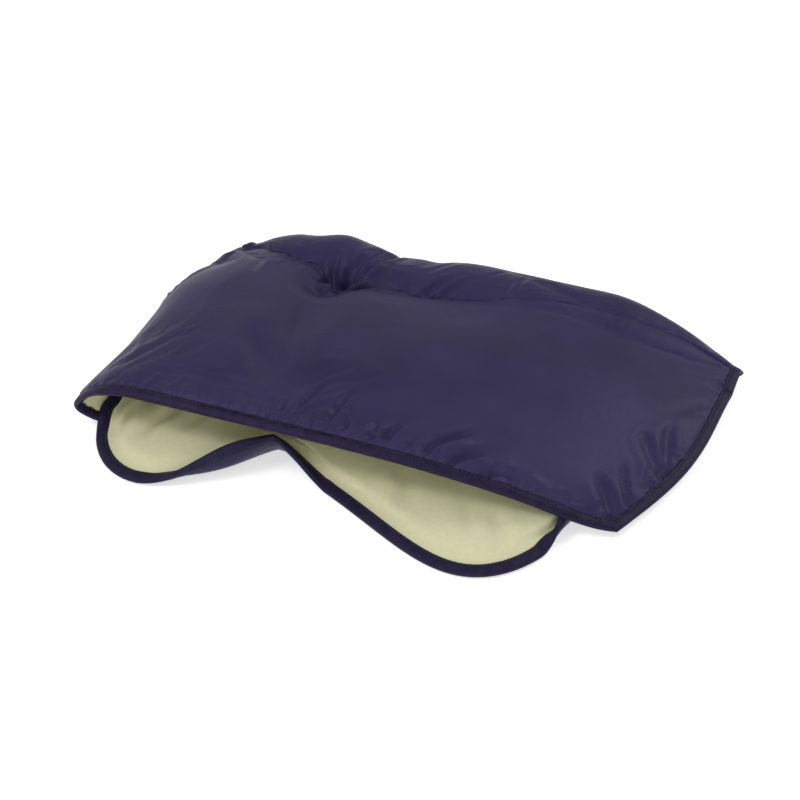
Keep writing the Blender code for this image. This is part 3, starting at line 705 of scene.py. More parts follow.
def softened(values, passes):
    """The values with their corners rounded, and their ends kept."""
    values = values.copy()
    for _ in range(passes):
        values[1:-1] = (values[:-2] + 2 * values[1:-1] + values[2:]) / 4
    return values


def spread(start, end, rows):
    """Stations from start to end, row by row, for every column."""
    return start[:, None] + (end - start)[:, None] * np.linspace(0, 1, rows + 1)


def seam_sink(xs, stations, seam):
    """How far the faces beside the seam slope down to it."""
    run = from_seam(stations, seam)
    near = np.clip(1 - np.abs(run) / np.where(run < 0, SINK_FRONT_RUN, SINK_BACK_RUN), 0, 1)
    return along_columns(SEAM_SINK, xs)[:, None] * near**2


def even_out(heights, weight, passes):
    """Level the heights along their second axis, by a weight."""
    for _ in range(passes):
        even = (heights[:, :-2] + heights[:, 2:]) / 2
        heights[:, 1:-1] += (even - heights[:, 1:-1]) * weight[:, 1:-1] / 2


def top_net(xs, stations, seam):
    """The outer face over the hands and the tunnel, before the press studs pinch it."""
    rows = zip(xs.tolist(), stations.tolist())
    made = np.array([[top_point(x, t) for t in column] for x, column in rows])
    heights = made[..., 2]
    across = np.exp(-(((xs - RIGHT_FLATTEN_X) / BEND_REACH) ** 2))
    even_out(heights, np.exp(-((seam_run(stations) / CREASE_REACH) ** 2)), CREASE_PASSES)
    even_out(heights.T, np.broadcast_to(across, heights.T.shape), BEND_PASSES)
    heights -= seam_sink(xs, stations, seam)
    return rolled(made, stations)


def rolled(net, stations):
    """The net with its left end rolled under by the tape, and its left front corner sunk."""
    away, ahead = lengths(net, 0), lengths(net, 1)
    over = eased(1 - away / ROLL_RUN)
    along = eased((stations - ROLL_START) / ROLL_RISE) * eased((3 - stations) / ROLL_RISE)
    shift = (ROLL_BULGE * 4 * over * (1 - over) - ROLL_DEPTH * over**2) * along
    for swell in SWELLS:
        aside = (net[..., 0] - swell.x) / swell.across
        beyond = (net[..., 1] - swell.y) / swell.along
        shift = shift + swell.height * np.exp(-(aside**2) - beyond**2)
    net = net + normals(net, 1) * (shift * back_held(stations))[..., None]
    net[..., 2] *= 1 - CORNER_SINK * eased(1 - np.hypot(away, ahead) / CORNER_SINK_RUN)
    return net


def back_held(stations):
    """0 at the back seam, rising to 1 a little way from it."""
    return eased((3 - stations) / BACK_HOLD)


def pressed(net, parts, shares=(1, 1, 1)):
    """The net with the press studs' pinches in its top, each to its own share of the full depth."""
    net = net.copy()
    for (_, meet), part, depth in zip(STUDS, parts, shares):
        seat = meet + FIT + SOCKET_HEIGHT + FIT + SEAT_THICKNESS
        net[..., 2] -= depth * part * np.maximum(0, net[..., 2] - seat)
    return net


def lifted(net):
    """The underside with its seat under each press stud."""
    net = net.copy()
    for (_, meet), part in zip(STUDS, seat_field(net, SEAT_HALF)):
        seat = meet - STUD_BASE_HEIGHT - FIT - SEAT_THICKNESS
        net[..., 2] = lerp(net[..., 2], seat, part)
    return net


def seam_run(stations):
    """Distance from the frame's front seam, measured from front to back."""
    return (stations - 1) * np.where(stations < 1, SEAM_Y - FRONT_Y, TUNNEL_AXIS_Y - SEAM_Y)


def from_seam(stations, seam):
    """Distance from the seam between the outer pads, less than 0 in front of it."""
    return seam_run(stations) - seam_run(seam)[:, None]


def lower_net(xs, rows):
    stations = np.broadcast_to(np.linspace(0, 3, rows + 1), (len(xs), rows + 1))
    made = np.array([[point(t) for t in stations[0].tolist()] for point in map(lobe_column, xs.tolist())])
    away = edge_distance(made)
    rim = TAPE_STACK * (1 - eased((away - TAPE_WIDTH) / TAPE_WIDTH))
    made[..., 2] = np.maximum(made[..., 2], rim)
    tucked = eased((made[..., 0] - TUNNEL_RIGHT_X + CURL_RUN) / CURL_RUN)
    tucked *= eased(2 * (stations - 1)) * eased(2 * (3 - stations))
    for roll in ROLLS:
        made = rolled_up(made, away, roll)
    made[..., 0] -= RIGHT_END_TUCK * tucked
    return lifted(made), stations


def rolled_up(net, away, roll):
    """The lower panel with a part of its edge rolled up over itself, keeping its outline from above."""
    radius = roll.cloth / roll.turn
    part = 1 - eased(np.linalg.norm(net[..., :2] - roll.place, axis=2) / roll.reach)
    outward = net[..., :2] - roll.centre
    outward /= np.maximum(np.linalg.norm(outward, axis=2, keepdims=True), MERGE)
    cloth = np.maximum(0, roll.cloth - away)
    turn = cloth / radius
    moved = radius * np.sin(turn) - cloth
    moved += (roll.cloth - radius) * (1 - eased((away - roll.cloth) / ROLL_FADE))
    net = net.copy()
    net[..., :2] += outward * (part * moved)[..., None]
    net[..., 2] += part * radius * (1 - np.cos(turn))
    return net


def lengths(net, axis):
    """Distance run along the net from its first column or row."""
    steps = np.linalg.norm(np.diff(net, axis=axis), axis=2)
    start = np.zeros_like(steps[:1] if axis == 0 else steps[:, :1])
    return np.concatenate([start, np.cumsum(steps, axis=axis)], axis=axis)


def edge_distance(net):
    """Distance to the nearest free edge: straight where it is short, and along the net farther in."""
    across, along = lengths(net, 0), lengths(net, 1)
    far = np.minimum(np.minimum(across, across[-1:] - across), along)
    edge = np.concatenate([net[0], net[-1], net[:, 0]])
    tree = KDTree(len(edge))
    for index, place in enumerate(edge.tolist()):
        tree.insert(place, index)
    tree.balance()
    near = np.array([[tree.find(place)[2] for place in column] for column in net.tolist()])
    return near + (far - near) * eased(near / NEAR_EDGE - 1)


def seats(net):
    """1 on the press studs' seats, falling to 0 around them."""
    return np.maximum.reduce(seat_field(net, SEAT_HALF))


def normals(net, facing, seat=0.0):
    """Outward directions over a net, evened out, and upright on the press studs' seats."""
    found = np.cross(np.gradient(net, axis=0), np.gradient(net, axis=1)) * facing
    found /= np.linalg.norm(found, axis=2, keepdims=True)
    for _ in range(NORMAL_PASSES):
        found[1:-1] = (found[:-2] + 2 * found[1:-1] + found[2:]) / 4
        found[:, 1:-1] = (found[:, :-2] + 2 * found[:, 1:-1] + found[:, 2:]) / 4
    upright = np.array((0.0, 0.0, facing))
    found += (upright - found) * np.full(net.shape[:2], seat**2)[..., None]
    return found / np.linalg.norm(found, axis=2, keepdims=True)


def wadding_room(net, stations, seam, full, seat):
    """Room between the shell and the lining: almost none at the edges, little at the seam and studs."""
    away = edge_distance(net)
    if seam is not None:
        full = lerp(SEAM_LOFT, full, eased(np.abs(from_seam(stations, seam)) / SEAM_RUN))
    rise = np.clip((away - TAPE_WIDTH) / (LOFT_RUN - TAPE_WIDTH), 0, 1)
    room = lerp(RIM_LOFT, full, 1 - (1 - rise) ** 2) + 2 * LAYER_GAP
    room = lerp(LAYER_GAP, room, eased(away / TAPE_WIDTH))
    return lerp(room, SEAT_SPACE, seat)


# Folds, as heights above the smooth form


def fold_field(net, folds, deep):
    """Creases along paths, each a valley between two low shoulders that fades at its end."""
    field = np.zeros(net.shape[:2])
    flat = net[..., :2]
    for fold in folds:
        path = np.array(fold.path)
        steps = np.linalg.norm(np.diff(path, axis=0), axis=1)
        starts = np.append(0, np.cumsum(steps))
        nearest = np.full(net.shape[:2], np.inf)
        along = np.zeros(net.shape[:2])
        for a, b, start, step in zip(path, path[1:], starts, steps):
            t = np.clip(((flat - a) @ (b - a)) / step**2, 0, 1)
            aside = np.linalg.norm(flat - a - t[..., None] * (b - a), axis=2)
            closer = aside < nearest
            nearest = np.where(closer, aside, nearest)
            along = np.where(closer, (start + t * step) / starts[-1], along)
        strength = eased(along / fold.rise) * (1 - along**FOLD_FADE)
        valley = np.exp(-((nearest / fold.width) ** 2))
        shoulder = np.exp(-(((nearest - SHOULDER_PLACE * fold.width) / fold.width) ** 2))
        field -= deep * fold.depth * strength * (valley - SHOULDER_SHARE * shoulder)
    return field


def gathers(away, along, spacing, reach, height, seed):
    """Small pleats that start at a bound edge: away is the distance from the edge, along the place on it."""
    dice = random.Random(seed)
    beyond = np.maximum(0, away - TAPE_WIDTH * TAPE_HOLD)
    field = np.zeros(away.shape)
    total = along.max()
    place = spacing * dice.random()
    while place < total:
        lean = dice.uniform(*GATHER_LEAN)
        run = reach * dice.uniform(*GATHER_RUNS)
        width = spacing * dice.uniform(*GATHER_WIDTHS)
        rise = height * dice.uniform(*GATHER_RISES)
        fade = np.clip(1 - beyond / run, 0, 1) ** GATHER_FADE
        aside = (along - place - lean * beyond) / width
        valley = GATHER_VALLEY * np.exp(-((aside - GATHER_VALLEY_PLACE) ** 2))
        field += rise * fade * (np.exp(-(aside**2)) - valley)
        place += spacing * dice.uniform(*GATHER_GAPS)
    return field * eased(beyond / GATHER_START)


def crumples(net, height):
    """Oblique creases of loose cloth beside the front edge, between the two corners."""
    away = lengths(net, 1)
    along = np.broadcast_to(lengths(net, 0)[:, :1], away.shape)
    beyond = np.maximum(0, away - TAPE_WIDTH * TAPE_HOLD)
    slanted = along / CRUMPLE_LENGTH - beyond / CRUMPLE_SLANT
    places = np.stack([slanted, beyond / CRUMPLE_WIDTH, np.full(away.shape, CRUMPLE_SEED)], axis=2)
    ridges = np.array([[1 - 2 * abs(noise.noise(place)) for place in column] for column in places.tolist()])
    strength = eased((net[..., 0] - CRUMPLE_LEFT_X) / CRUMPLE_LEFT_RUN)
    strength *= eased((CRUMPLE_RIGHT_X - net[..., 0]) / CRUMPLE_RIGHT_RUN)
    fade = eased(beyond / GATHER_START) * np.clip(1 - beyond / CRUMPLE_REACH, 0, 1)
    return height * ridges * fade * strength


def spokes():
    """Small folds that radiate from the first pinch."""
    dice = random.Random(SPOKE_SEED)
    x, y = PINCH
    made = []
    for k in range(SPOKES):
        angle = lerp(*SPOKE_ANGLES, (k + dice.uniform(*SPOKE_PLACES)) / SPOKES)
        turned = angle + dice.uniform(*SPOKE_BENDS)
        run = SPOKE_REACH * dice.uniform(*SPOKE_RUNS)
        middle = (x + run / 2 * math.cos(angle), y + run / 2 * math.sin(angle))
        end = (x + run * math.cos(turned), y + run * math.sin(turned))
        depth = SPOKE_DEPTH * dice.uniform(*SPOKE_DEPTHS)
        made.append(Fold((PINCH, middle, end), depth, SPOKE_WIDTH * dice.uniform(*SPOKE_WIDTHS)))
    return made


def billows(net, height):
    """Slow swells where the wadding lies unevenly."""
    made = [[noise.noise(Vector(point) / BILLOW_SIZE + BILLOW_SHIFT) for point in column] for column in net]
    return height * np.array(made)


def seam_dip(stations, seam, depth):
    """The valley along the seam between the outer pads, deepest at its left end."""
    return -depth[:, None] * np.exp(-np.abs(from_seam(stations, seam)) / SEAM_DIP_WIDTH)


# Meshes


def pad_mesh(name, outer, inner, finishes):
    """A closed pad between two nets, with a UV map in metres along the cloth."""
    across, along = outer.shape[0] - 1, outer.shape[1] - 1
    bm = bmesh.new()
    bmesh.ops.create_grid(bm, x_segments=across, y_segments=along, size=0.5)
    made = bmesh.ops.extrude_face_region(bm, geom=bm.faces[:], use_keep_orig=True)
    raised = [item for item in made["geom"] if isinstance(item, bmesh.types.BMVert)]
    bmesh.ops.translate(bm, verts=raised, vec=(0, 0, 1))
    mesh = bpy.data.meshes.new(name)
    bm.to_mesh(mesh)
    bm.free()
    grid = np.empty(len(mesh.vertices) * 3)
    mesh.vertices.foreach_get("co", grid)
    grid = grid.reshape(-1, 3)
    i = np.rint((grid[:, 0] + 0.5) * across).astype(int)
    j = np.rint((grid[:, 1] + 0.5) * along).astype(int)
    top = grid[:, 2] > 0.5
    places = np.where(top[:, None], outer[i, j], inner[i, j])
    mesh.vertices.foreach_set("co", places.ravel())
    corners = np.empty(len(mesh.loops), int)
    mesh.loops.foreach_get("vertex_index", corners)
    u = lengths(outer, 0)[:, along // 2]
    v = lengths(outer, 1)[across // 2]
    uv = mesh.uv_layers.new(name="cloth")
    uv.data.foreach_set("uv", np.stack([u[i[corners]], v[j[corners]]], axis=1).ravel())
    is_inner = ~top[corners].reshape(-1, 4).all(axis=1)
    mesh.polygons.foreach_set("material_index", is_inner.astype(np.int32))
    return finished(name, mesh, finishes), (i, j, top)


def finished(name, mesh, finishes):
    for finish in finishes:
        mesh.materials.append(finish)
    bm = bmesh.new()
    bm.from_mesh(mesh)
    bmesh.ops.recalc_face_normals(bm, faces=bm.faces)
    if bm.calc_volume(signed=True) < 0:
        bmesh.ops.reverse_faces(bm, faces=bm.faces)
    bm.to_mesh(mesh)
    bm.free()
    mesh.shade_smooth()
    made = bpy.data.objects.new(name, mesh)
    bpy.context.scene.collection.objects.link(made)
    return made


def settled(name, outer, inner, slack):
    """How far each point of the outer net moves when the pad is filled and its cloth settles.

    slack is the share by which the cloth is longer than its wadding, over the net. The edges and the
    inner face are held."""
    pad, (i, j, top) = pad_mesh(f"{name}_settling", outer, inner, ())
    on_rim = (i == 0) | (j == 0) | (i == i.max()) | (j == j.max())
    held = np.where(top & ~on_rim, FOUNDATION, 1.0)
    give = np.where(top, slack[i, j] / slack.max(), 0.0)
    for group_name, weights in (("held", held), ("slack", give)):
        group = pad.vertex_groups.new(name=group_name)
        for index, weight in enumerate(weights):
            group.add((index,), float(weight), "REPLACE")
    cloth = pad.modifiers.new("cloth", "CLOTH")
    settings = cloth.settings
    settings.quality = CLOTH_QUALITY
    settings.mass = CLOTH_MASS
    settings.tension_stiffness = CLOTH_STIFFNESS
    settings.compression_stiffness = CLOTH_STIFFNESS
    settings.shear_stiffness = CLOTH_STIFFNESS / 3
    settings.bending_stiffness = CLOTH_BENDING
    settings.vertex_group_mass = "held"
    settings.pin_stiffness = PIN_STIFFNESS
    settings.vertex_group_shrink = "slack"
    settings.shrink_min = 0.0
    settings.shrink_max = -float(slack.max())
    settings.use_pressure = True
    settings.uniform_pressure_force = PAD_PRESSURE
    settings.effector_weights.gravity = 0.0
    cloth.collision_settings.use_collision = False
    cloth.point_cache.frame_end = SETTLE_FRAMES
    scene = bpy.context.scene
    for step in range(1, SETTLE_FRAMES + 1):
        scene.frame_set(step)
    graph = bpy.context.evaluated_depsgraph_get()
    places = np.empty(len(pad.data.vertices) * 3)
    pad.evaluated_get(graph).data.vertices.foreach_get("co", places)
    scene.frame_set(1)
    moved = np.zeros_like(outer)
    moved[i[top], j[top]] = places.reshape(-1, 3)[top] - outer[i[top], j[top]]
    bpy.data.objects.remove(pad)
    far = np.linalg.norm(moved, axis=2, keepdims=True)
    return moved * np.minimum(1, MOST_MOVE / np.maximum(far, MERGE))


def doubled(field):
    """The field at twice as many columns and rows, with smooth points between its own."""
    for _ in range(2):
        padded = np.concatenate([field[:1], field, field[-1:]])
        between = (9 * (padded[1:-2] + padded[2:-1]) - padded[:-3] - padded[3:]) / 16
        made = np.empty((2 * len(field) - 1,) + field.shape[1:])
        made[::2] = field
        made[1::2] = between
        field = made.swapaxes(0, 1)
    return field


# Edge tape and stitching


def edge_line(surface, behind):
    """The free edge of a panel: down its left side from a station, along its front and back up."""
    last = surface.net.shape[0] - 1
    left = [(0, j) for j in range(station_row(surface, 0, behind), 0, -1)]
    front = [(i, 0) for i in range(last + 1)]
    right = [(last, j) for j in range(1, station_row(surface, last, behind) + 1)]
    return spaced(surface, left + front + right, [(0, 0), (last, 0)] if surface.sharp else [])


def side_line(surface, i, ahead):
    """One side of a panel, from a station to its back."""
    rows = range(station_row(surface, i, ahead), surface.net.shape[1])
    return spaced(surface, [(i, j) for j in rows], [])


def station_row(surface, i, station):
    """The row of a column that lies nearest to a station."""
    return int(np.argmin(np.abs(surface.stations[i] - station)))


def spaced(surface, cells, corners):
    """Edge points a tape step apart, keeping sharp corners clear of their neighbours."""
    places = [Vector(surface.net[cell]) for cell in cells]
    corner_places = [Vector(surface.net[cell]) for cell in corners]
    kept = []
    for cell, place in zip(cells, places):
        if cell not in corners:
            if kept and (place - Vector(surface.net[kept[-1]])).length < TAPE_STEP:
                continue
            if any((place - corner).length < CORNER_CLEAR for corner in corner_places):
                continue
        kept.append(cell)
    if kept[-1] != cells[-1]:
        kept[-1] = cells[-1]
    return kept


def tape_frames(surface, cells):
    """Place, way along, way in and outward normal at each edge point, mitred at sharp corners."""
    places = [Vector(surface.net[cell]) for cell in cells]
    ups = softened(np.array([surface.normal[cell] for cell in cells]), TAPE_NORMAL_PASSES)
    middle = (surface.net.shape[0] // 2, surface.net.shape[1] // 2)
    made = []
    for k, (place, cell) in enumerate(zip(places, cells)):
        behind = place - places[k - 1] if k else places[1] - place
        ahead = places[k + 1] - place if k + 1 < len(places) else behind
        up = Vector(ups[k]).normalized()
        way = (ahead.normalized() + behind.normalized()).normalized()
        inward = up.cross(way).normalized()
        within = Vector(surface.net[nudged(cell, middle)])
        if inward.dot(within - place) < 0:
            inward.negate()
        mitre = abs(up.cross(ahead.normalized()).normalized().dot(inward))
        made.append((place, way, inward / max(mitre, MITRE_LIMIT), up))
    return made


def nudged(cell, middle):
    """A cell a little nearer the middle of its net."""
    return tuple(a + max(-LOOK_CELLS, min(LOOK_CELLS, b - a)) for a, b in zip(cell, middle))


def net_sheet(net):
    """A bmesh with a vertex on each point of a net, and the column and row of each vertex."""
    across, along = net.shape[0] - 1, net.shape[1] - 1
    bm = bmesh.new()
    bmesh.ops.create_grid(bm, x_segments=across, y_segments=along, size=0.5)
    cells = []
    for vert in bm.verts:
        cells.append((round((vert.co.x + 0.5) * across), round((vert.co.y + 0.5) * along)))
        vert.co = Vector(net[cells[-1]])
    return bm, cells


def surface_tree(surface):
    """A search tree of a panel's outer face."""
    bm, _ = net_sheet(surface.net)
    tree = BVHTree.FromBMesh(bm)
    bm.free()
    return tree


def stack_depth(away):
    """Thickness of a panel, shell to lining, under the tape."""
    inside = smooth(away / TAPE_WIDTH)
    room = lerp(LAYER_GAP, RIM_LOFT + 2 * LAYER_GAP, inside)
    return SHELL_THICKNESS + room + LINING_THICKNESS * lerp(RIM_PRESS, 1, inside)


def tape_section(tree, place, inward, up):
    """Points round the folded tape: over the shell, round the edge, under the lining and back inside."""

    def over(away, height):
        near = tree.find_nearest(place + inward * away)[0]
        return near + up * height

    def under(away, height):
        near = tree.find_nearest(place + inward * away)[0]
        return near - up * (stack_depth(away) + height)

    half = stack_depth(0) / 2

    def nose(degrees, beyond):
        angle = math.radians(degrees)
        flat = inward * -math.cos(angle) + up * math.sin(angle)
        return place - up * half + flat * (half + beyond)

    outside = [over(away, height) for away, height in TAPE_PROFILE]
    outside += [nose(degrees, TAPE_NOSE) for degrees in NOSE_ANGLES]
    outside += [under(away, height) for away, height in reversed(TAPE_PROFILE)]
    inside = [under(TAPE_WIDTH, TAPE_FIT), under(0, TAPE_FIT), nose(0, TAPE_FIT), over(0, TAPE_FIT)]
    return outside + inside + [over(TAPE_WIDTH, TAPE_FIT)]


def swept(name, rings, finishes):
    """A closed tube through the rings of points, with a UV map in metres."""
    rings = np.array(rings)
    rings = np.concatenate([rings, rings[:, :1]], axis=1)
    u, v = lengths(rings, 0)[:, 0], lengths(rings, 1)[(rings.shape[0] - 1) // 2]
    bm, cells = net_sheet(rings)
    layer = bm.loops.layers.uv.new("cloth")
    for vert, (i, j) in zip(bm.verts, cells):
        for loop in vert.link_loops:
            loop[layer].uv = (u[i], v[j])
    bmesh.ops.remove_doubles(bm, verts=bm.verts, dist=MERGE)
    bmesh.ops.holes_fill(bm, edges=[edge for edge in bm.edges if edge.is_boundary], sides=0)
    mesh = bpy.data.meshes.new(name)
    bm.to_mesh(mesh)
    bm.free()
    return finished(name, mesh, finishes)


def taped(surface, name, cells, finish):
    tree = surface_tree(surface)
    rings = [tape_section(tree, place, inward, up) for place, _, inward, up in tape_frames(surface, cells)]
    return swept(name, rings, [finish])


def stitched(surface, name, cells, finish, length, pitch):
    """A row of stitches on each side of the tape, near its inner edge."""
    tree = surface_tree(surface)
    frames = tape_frames(surface, cells)
    places = []
    run, due = 0.0, pitch
    for (place, *_), (then, way, inward, up) in zip(frames, frames[1:]):
        step = (then - place).length
        run += step
        turn = Matrix((way, inward.normalized(), up)).transposed().to_4x4()
        while due < run:
            here = then.lerp(place, (run - due) / step)
            due += pitch
            near = tree.find_nearest(here + inward.normalized() * STITCH_INSET)[0]
            for height in (STITCH_HEIGHT, -stack_depth(STITCH_INSET) - STITCH_HEIGHT):
                places.append(Matrix.Translation(near + up * height) @ turn)
    return finished(name, sewn(name, places, length), [finish])


def sewn(name, places, length):
    """A mesh with a stitch at each place, gathered a batch at a time."""
    size = Matrix.Diagonal((length / 2, THREAD_RADIUS, THREAD_RADIUS, 1))
    mesh = bpy.data.meshes.new(name)
    row = bmesh.new()
    for start in range(0, len(places), STITCH_BATCH):
        batch = bmesh.new()
        for place in places[start : start + STITCH_BATCH]:
            bmesh.ops.create_uvsphere(batch, u_segments=6, v_segments=4, radius=1, matrix=place @ size)
        batch.to_mesh(mesh)
        batch.free()
        row.from_mesh(mesh)
    row.to_mesh(mesh)
    row.free()
    return mesh


# Materials


def add_node(tree, kind, inputs=None, **settings):
    """A node with its settings, and its inputs given as values or as sockets to link from."""
    node = tree.nodes.new(kind)
    for key, value in settings.items():
        setattr(node, key, value)
    for key, value in (inputs or {}).items():
        if isinstance(value, bpy.types.NodeSocket):
            tree.links.new(value, node.inputs[key])
        else:
            node.inputs[key].default_value = value
    return node


def math_node(tree, operation, *values):
    return add_node(tree, "ShaderNodeMath", dict(enumerate(values)), operation=operation).outputs[0]


def noise_node(tree, place, scale, kind="FBM", **inputs):
    inputs = {"Vector": place, "Scale": scale, **inputs}
    return add_node(tree, "ShaderNodeTexNoise", inputs, noise_type=kind).outputs[0]


def range_node(tree, value, start, end, low=0.0, high=1.0, **settings):
    """A value that runs from low to high as the given one runs from start to end."""
    inputs = {"Value": value, "From Min": start, "From Max": end, "To Min": low, "To Max": high}
    return add_node(tree, "ShaderNodeMapRange", inputs, **settings).outputs[0]


def bump_node(tree, height, strength, distance, normal=None):
    """The normal that a height gives, over another normal where there is one."""
    inputs = {"Height": height, "Strength": strength, "Distance": distance}
    if normal is not None:
        inputs["Normal"] = normal
    return add_node(tree, "ShaderNodeBump", inputs).outputs[0]


def new_group(name, inputs, outputs):
    """An empty node group, with its input and output nodes."""
    group = bpy.data.node_groups.new(name, "ShaderNodeTree")
    for label, kind, default in inputs:
        socket = group.interface.new_socket(label, in_out="INPUT", socket_type=kind)
        if default is not None:
            socket.default_value = default
    for label in outputs:
        group.interface.new_socket(label, in_out="OUTPUT", socket_type="NodeSocketFloat")
    return group, add_node(group, "NodeGroupInput"), add_node(group, "NodeGroupOutput")


def plain_weave():
    """Height of a plain weave over a UV map in metres."""
    sockets = [("Cloth", "NodeSocketVector", None), ("Threads", "NodeSocketFloat", 2000.0)]
    group, given, result = new_group("Plain weave", sockets, ["Height"])
    inputs = {0: given.outputs["Cloth"], "Scale": given.outputs["Threads"]}
    scaled = add_node(group, "ShaderNodeVectorMath", inputs, operation="SCALE")
    split = add_node(group, "ShaderNodeSeparateXYZ", {0: scaled.outputs[0]})
    waves, cells = [], []
    for axis in ("X", "Y"):
        turns = math_node(group, "MULTIPLY", split.outputs[axis], math.pi)
        waves.append(math_node(group, "ABSOLUTE", math_node(group, "SINE", turns)))
        cells.append(math_node(group, "FLOOR", split.outputs[axis]))
    odd = math_node(group, "PINGPONG", math_node(group, "ADD", *cells), 1.0)
    mixed = add_node(group, "ShaderNodeMix", {"Factor": odd, "A": waves[0], "B": waves[1]})
    group.links.new(mixed.outputs["Result"], result.inputs["Height"])
    return group


def crinkle():
    """Height of the fine creases of a thin cloth, which gather in patches."""
    sockets = [("Place", "NodeSocketVector", None), ("Size", "NodeSocketFloat", 60.0)]
    group, given, result = new_group("Crinkle", sockets, ["Height"])
    place, size = given.outputs["Place"], given.outputs["Size"]
    ridges = noise_node(group, place, size, "RIDGED_MULTIFRACTAL", Detail=3.0, Distortion=1.2)
    areas = noise_node(group, place, 14.0, Detail=2.0)
    where = range_node(group, areas, 0.42, 0.62, interpolation_type="SMOOTHSTEP")
    group.links.new(math_node(group, "MULTIPLY", ridges, where), result.inputs["Height"])
    return group


def edge_creases():
    """Height of fine slanting creases beside a front edge, over a UV map in metres."""
    sockets = [("Cloth", "NodeSocketVector", None), ("Reach", "NodeSocketFloat", 0.05)]
    group, given, result = new_group("Edge creases", sockets, ["Height"])
    split = add_node(group, "ShaderNodeSeparateXYZ", {0: given.outputs["Cloth"]})
    along, away = split.outputs["X"], split.outputs["Y"]
    slant = math_node(group, "MULTIPLY_ADD", away, -1.4, along)
    drawn = math_node(group, "MULTIPLY", away, 2.6)
    place = add_node(group, "ShaderNodeCombineXYZ", {"X": slant, "Y": drawn}).outputs[0]
    shape = {"Detail": 3.0, "Roughness": 0.6, "Distortion": 0.6}
    ridges = noise_node(group, place, 34.0, "RIDGED_MULTIFRACTAL", **shape)
    fade = range_node(group, away, 0.006, given.outputs["Reach"], 1.0, 0.0)
    height = math_node(group, "MULTIPLY", ridges, math_node(group, "MULTIPLY", fade, fade))
    group.links.new(height, result.inputs["Height"])
    return group


def pile():
    """Short pile of fleece, in clumps, as a height and as a mask of the clumps."""
    sockets = [("Place", "NodeSocketVector", None), ("Fibres", "NodeSocketFloat", 1400.0)]
    group, given, result = new_group("Pile", sockets, ["Height", "Mask"])
    place = given.outputs["Place"]
    fibres = noise_node(group, place, given.outputs["Fibres"], Detail=2.0, Roughness=0.7)
    clumps = noise_node(group, place, 200.0, Detail=3.0, Distortion=0.6)
    height = math_node(group, "MULTIPLY_ADD", clumps, 0.6, fibres)
    group.links.new(height, result.inputs["Height"])
    group.links.new(clumps, result.inputs["Mask"])
    return group


def shared_group(build):
    """The group that this function builds, made once."""
    if build.__name__ not in GROUPS:
        GROUPS[build.__name__] = build()
    return GROUPS[build.__name__]


def new_material(name, roughness, **sockets):
    """A material, its shader with constants on its own sockets, and coordinates for its textures."""
    made = bpy.data.materials.new(name)
    made.use_nodes = True
    shader = made.node_tree.nodes["Principled BSDF"]
    shader.inputs["Roughness"].default_value = roughness
    for label, value in sockets.items():
        shader.inputs[label.replace("_", " ")].default_value = value
    coords = add_node(made.node_tree, "ShaderNodeTexCoord")
    return made, made.node_tree, shader, coords.outputs


def from_group(tree, build, inputs):
    """The outputs of a shared group."""
    return add_node(tree, "ShaderNodeGroup", inputs, node_tree=shared_group(build)).outputs


def toned(tree, shader, mask, low, high, colour, dark, light=1.0):
    """Colour a shader from a dark to a light share of the colour as the mask runs from low to high."""
    ramp = range_node(tree, mask, low, high)
    mixed = add_node(tree, "ShaderNodeMix", {"Factor": ramp}, data_type="RGBA")
    for side, amount in (("A", dark), ("B", light)):
        mixed.inputs[side].default_value = (*np.multiply(colour, amount).tolist(), 1)
    tree.links.new(mixed.outputs["Result"], shader.inputs["Base Color"])


def shell_material(colour):
    """Thin satin nylon: a fine weave, faint crinkles and painted patches of highlight and shade in its
    colour, where the cloth catches the light.
    """
    made, tree, shader, coords = new_material(
        "satin_nylon",
        0.42,
        Sheen_Weight=0.02,
        Sheen_Tint=(0.5, 0.4, 1, 1),
        Specular_IOR_Level=0.13,
        Specular_Tint=(0.75, 0.62, 1, 1),
    )
    patches = noise_node(tree, coords["Object"], 9.0, Detail=3.0, Roughness=0.6)
    # Painted highlight and shade: the base colour runs from 0.86 to 1.16 of the shell colour in broad noise
    # patches, and the same patches vary the roughness
    toned(tree, shader, patches, 0.35, 0.65, colour, 0.86, 1.16)
    tree.links.new(range_node(tree, patches, 0.0, 1.0, 0.36, 0.48), shader.inputs["Roughness"])
    beside = from_group(tree, edge_creases, {"Cloth": coords["UV"], "Reach": 0.050})["Height"]
    creases = from_group(tree, crinkle, {"Place": coords["Object"], "Size": 55.0})["Height"]
    weave = from_group(tree, plain_weave, {"Cloth": coords["UV"], "Threads": 1800.0})["Height"]
    folds = bump_node(tree, creases, 0.4, 0.0008, bump_node(tree, beside, 1.0, 0.0022))
    tree.links.new(bump_node(tree, weave, 0.25, 0.00005, folds), shader.inputs["Normal"])
    return made


def tape_material(colour):
    """Woven tape, darker than the shell and slightly rippled."""
    tint = (0.7, 0.6, 1, 1)
    made, tree, shader, coords = new_material("woven_tape", 0.5, Specular_IOR_Level=0.2, Specular_Tint=tint)
    wear = noise_node(tree, coords["Object"], 130.0, Detail=3.0)
    toned(tree, shader, wear, 0.35, 0.65, colour, 0.8, 1.25)
    weave = from_group(tree, plain_weave, {"Cloth": coords["UV"], "Threads": 1300.0})["Height"]
    threads = bump_node(tree, weave, 0.4, 0.00008, bump_node(tree, wear, 0.4, 0.0005))
    tree.links.new(threads, shader.inputs["Normal"])
    return made


def napped(name, colour, fibres, high, dark, strength, distance, **sockets):
    """Matt fibres that lie in clumps."""
    made, tree, shader, coords = new_material(name, 0.95, **sockets)
    nap = from_group(tree, pile, {"Place": coords["Object"], "Fibres": fibres})
    toned(tree, shader, nap["Mask"], 0.3, high, colour, dark)
    tree.links.new(bump_node(tree, nap["Height"], strength, distance), shader.inputs["Normal"])
    return made


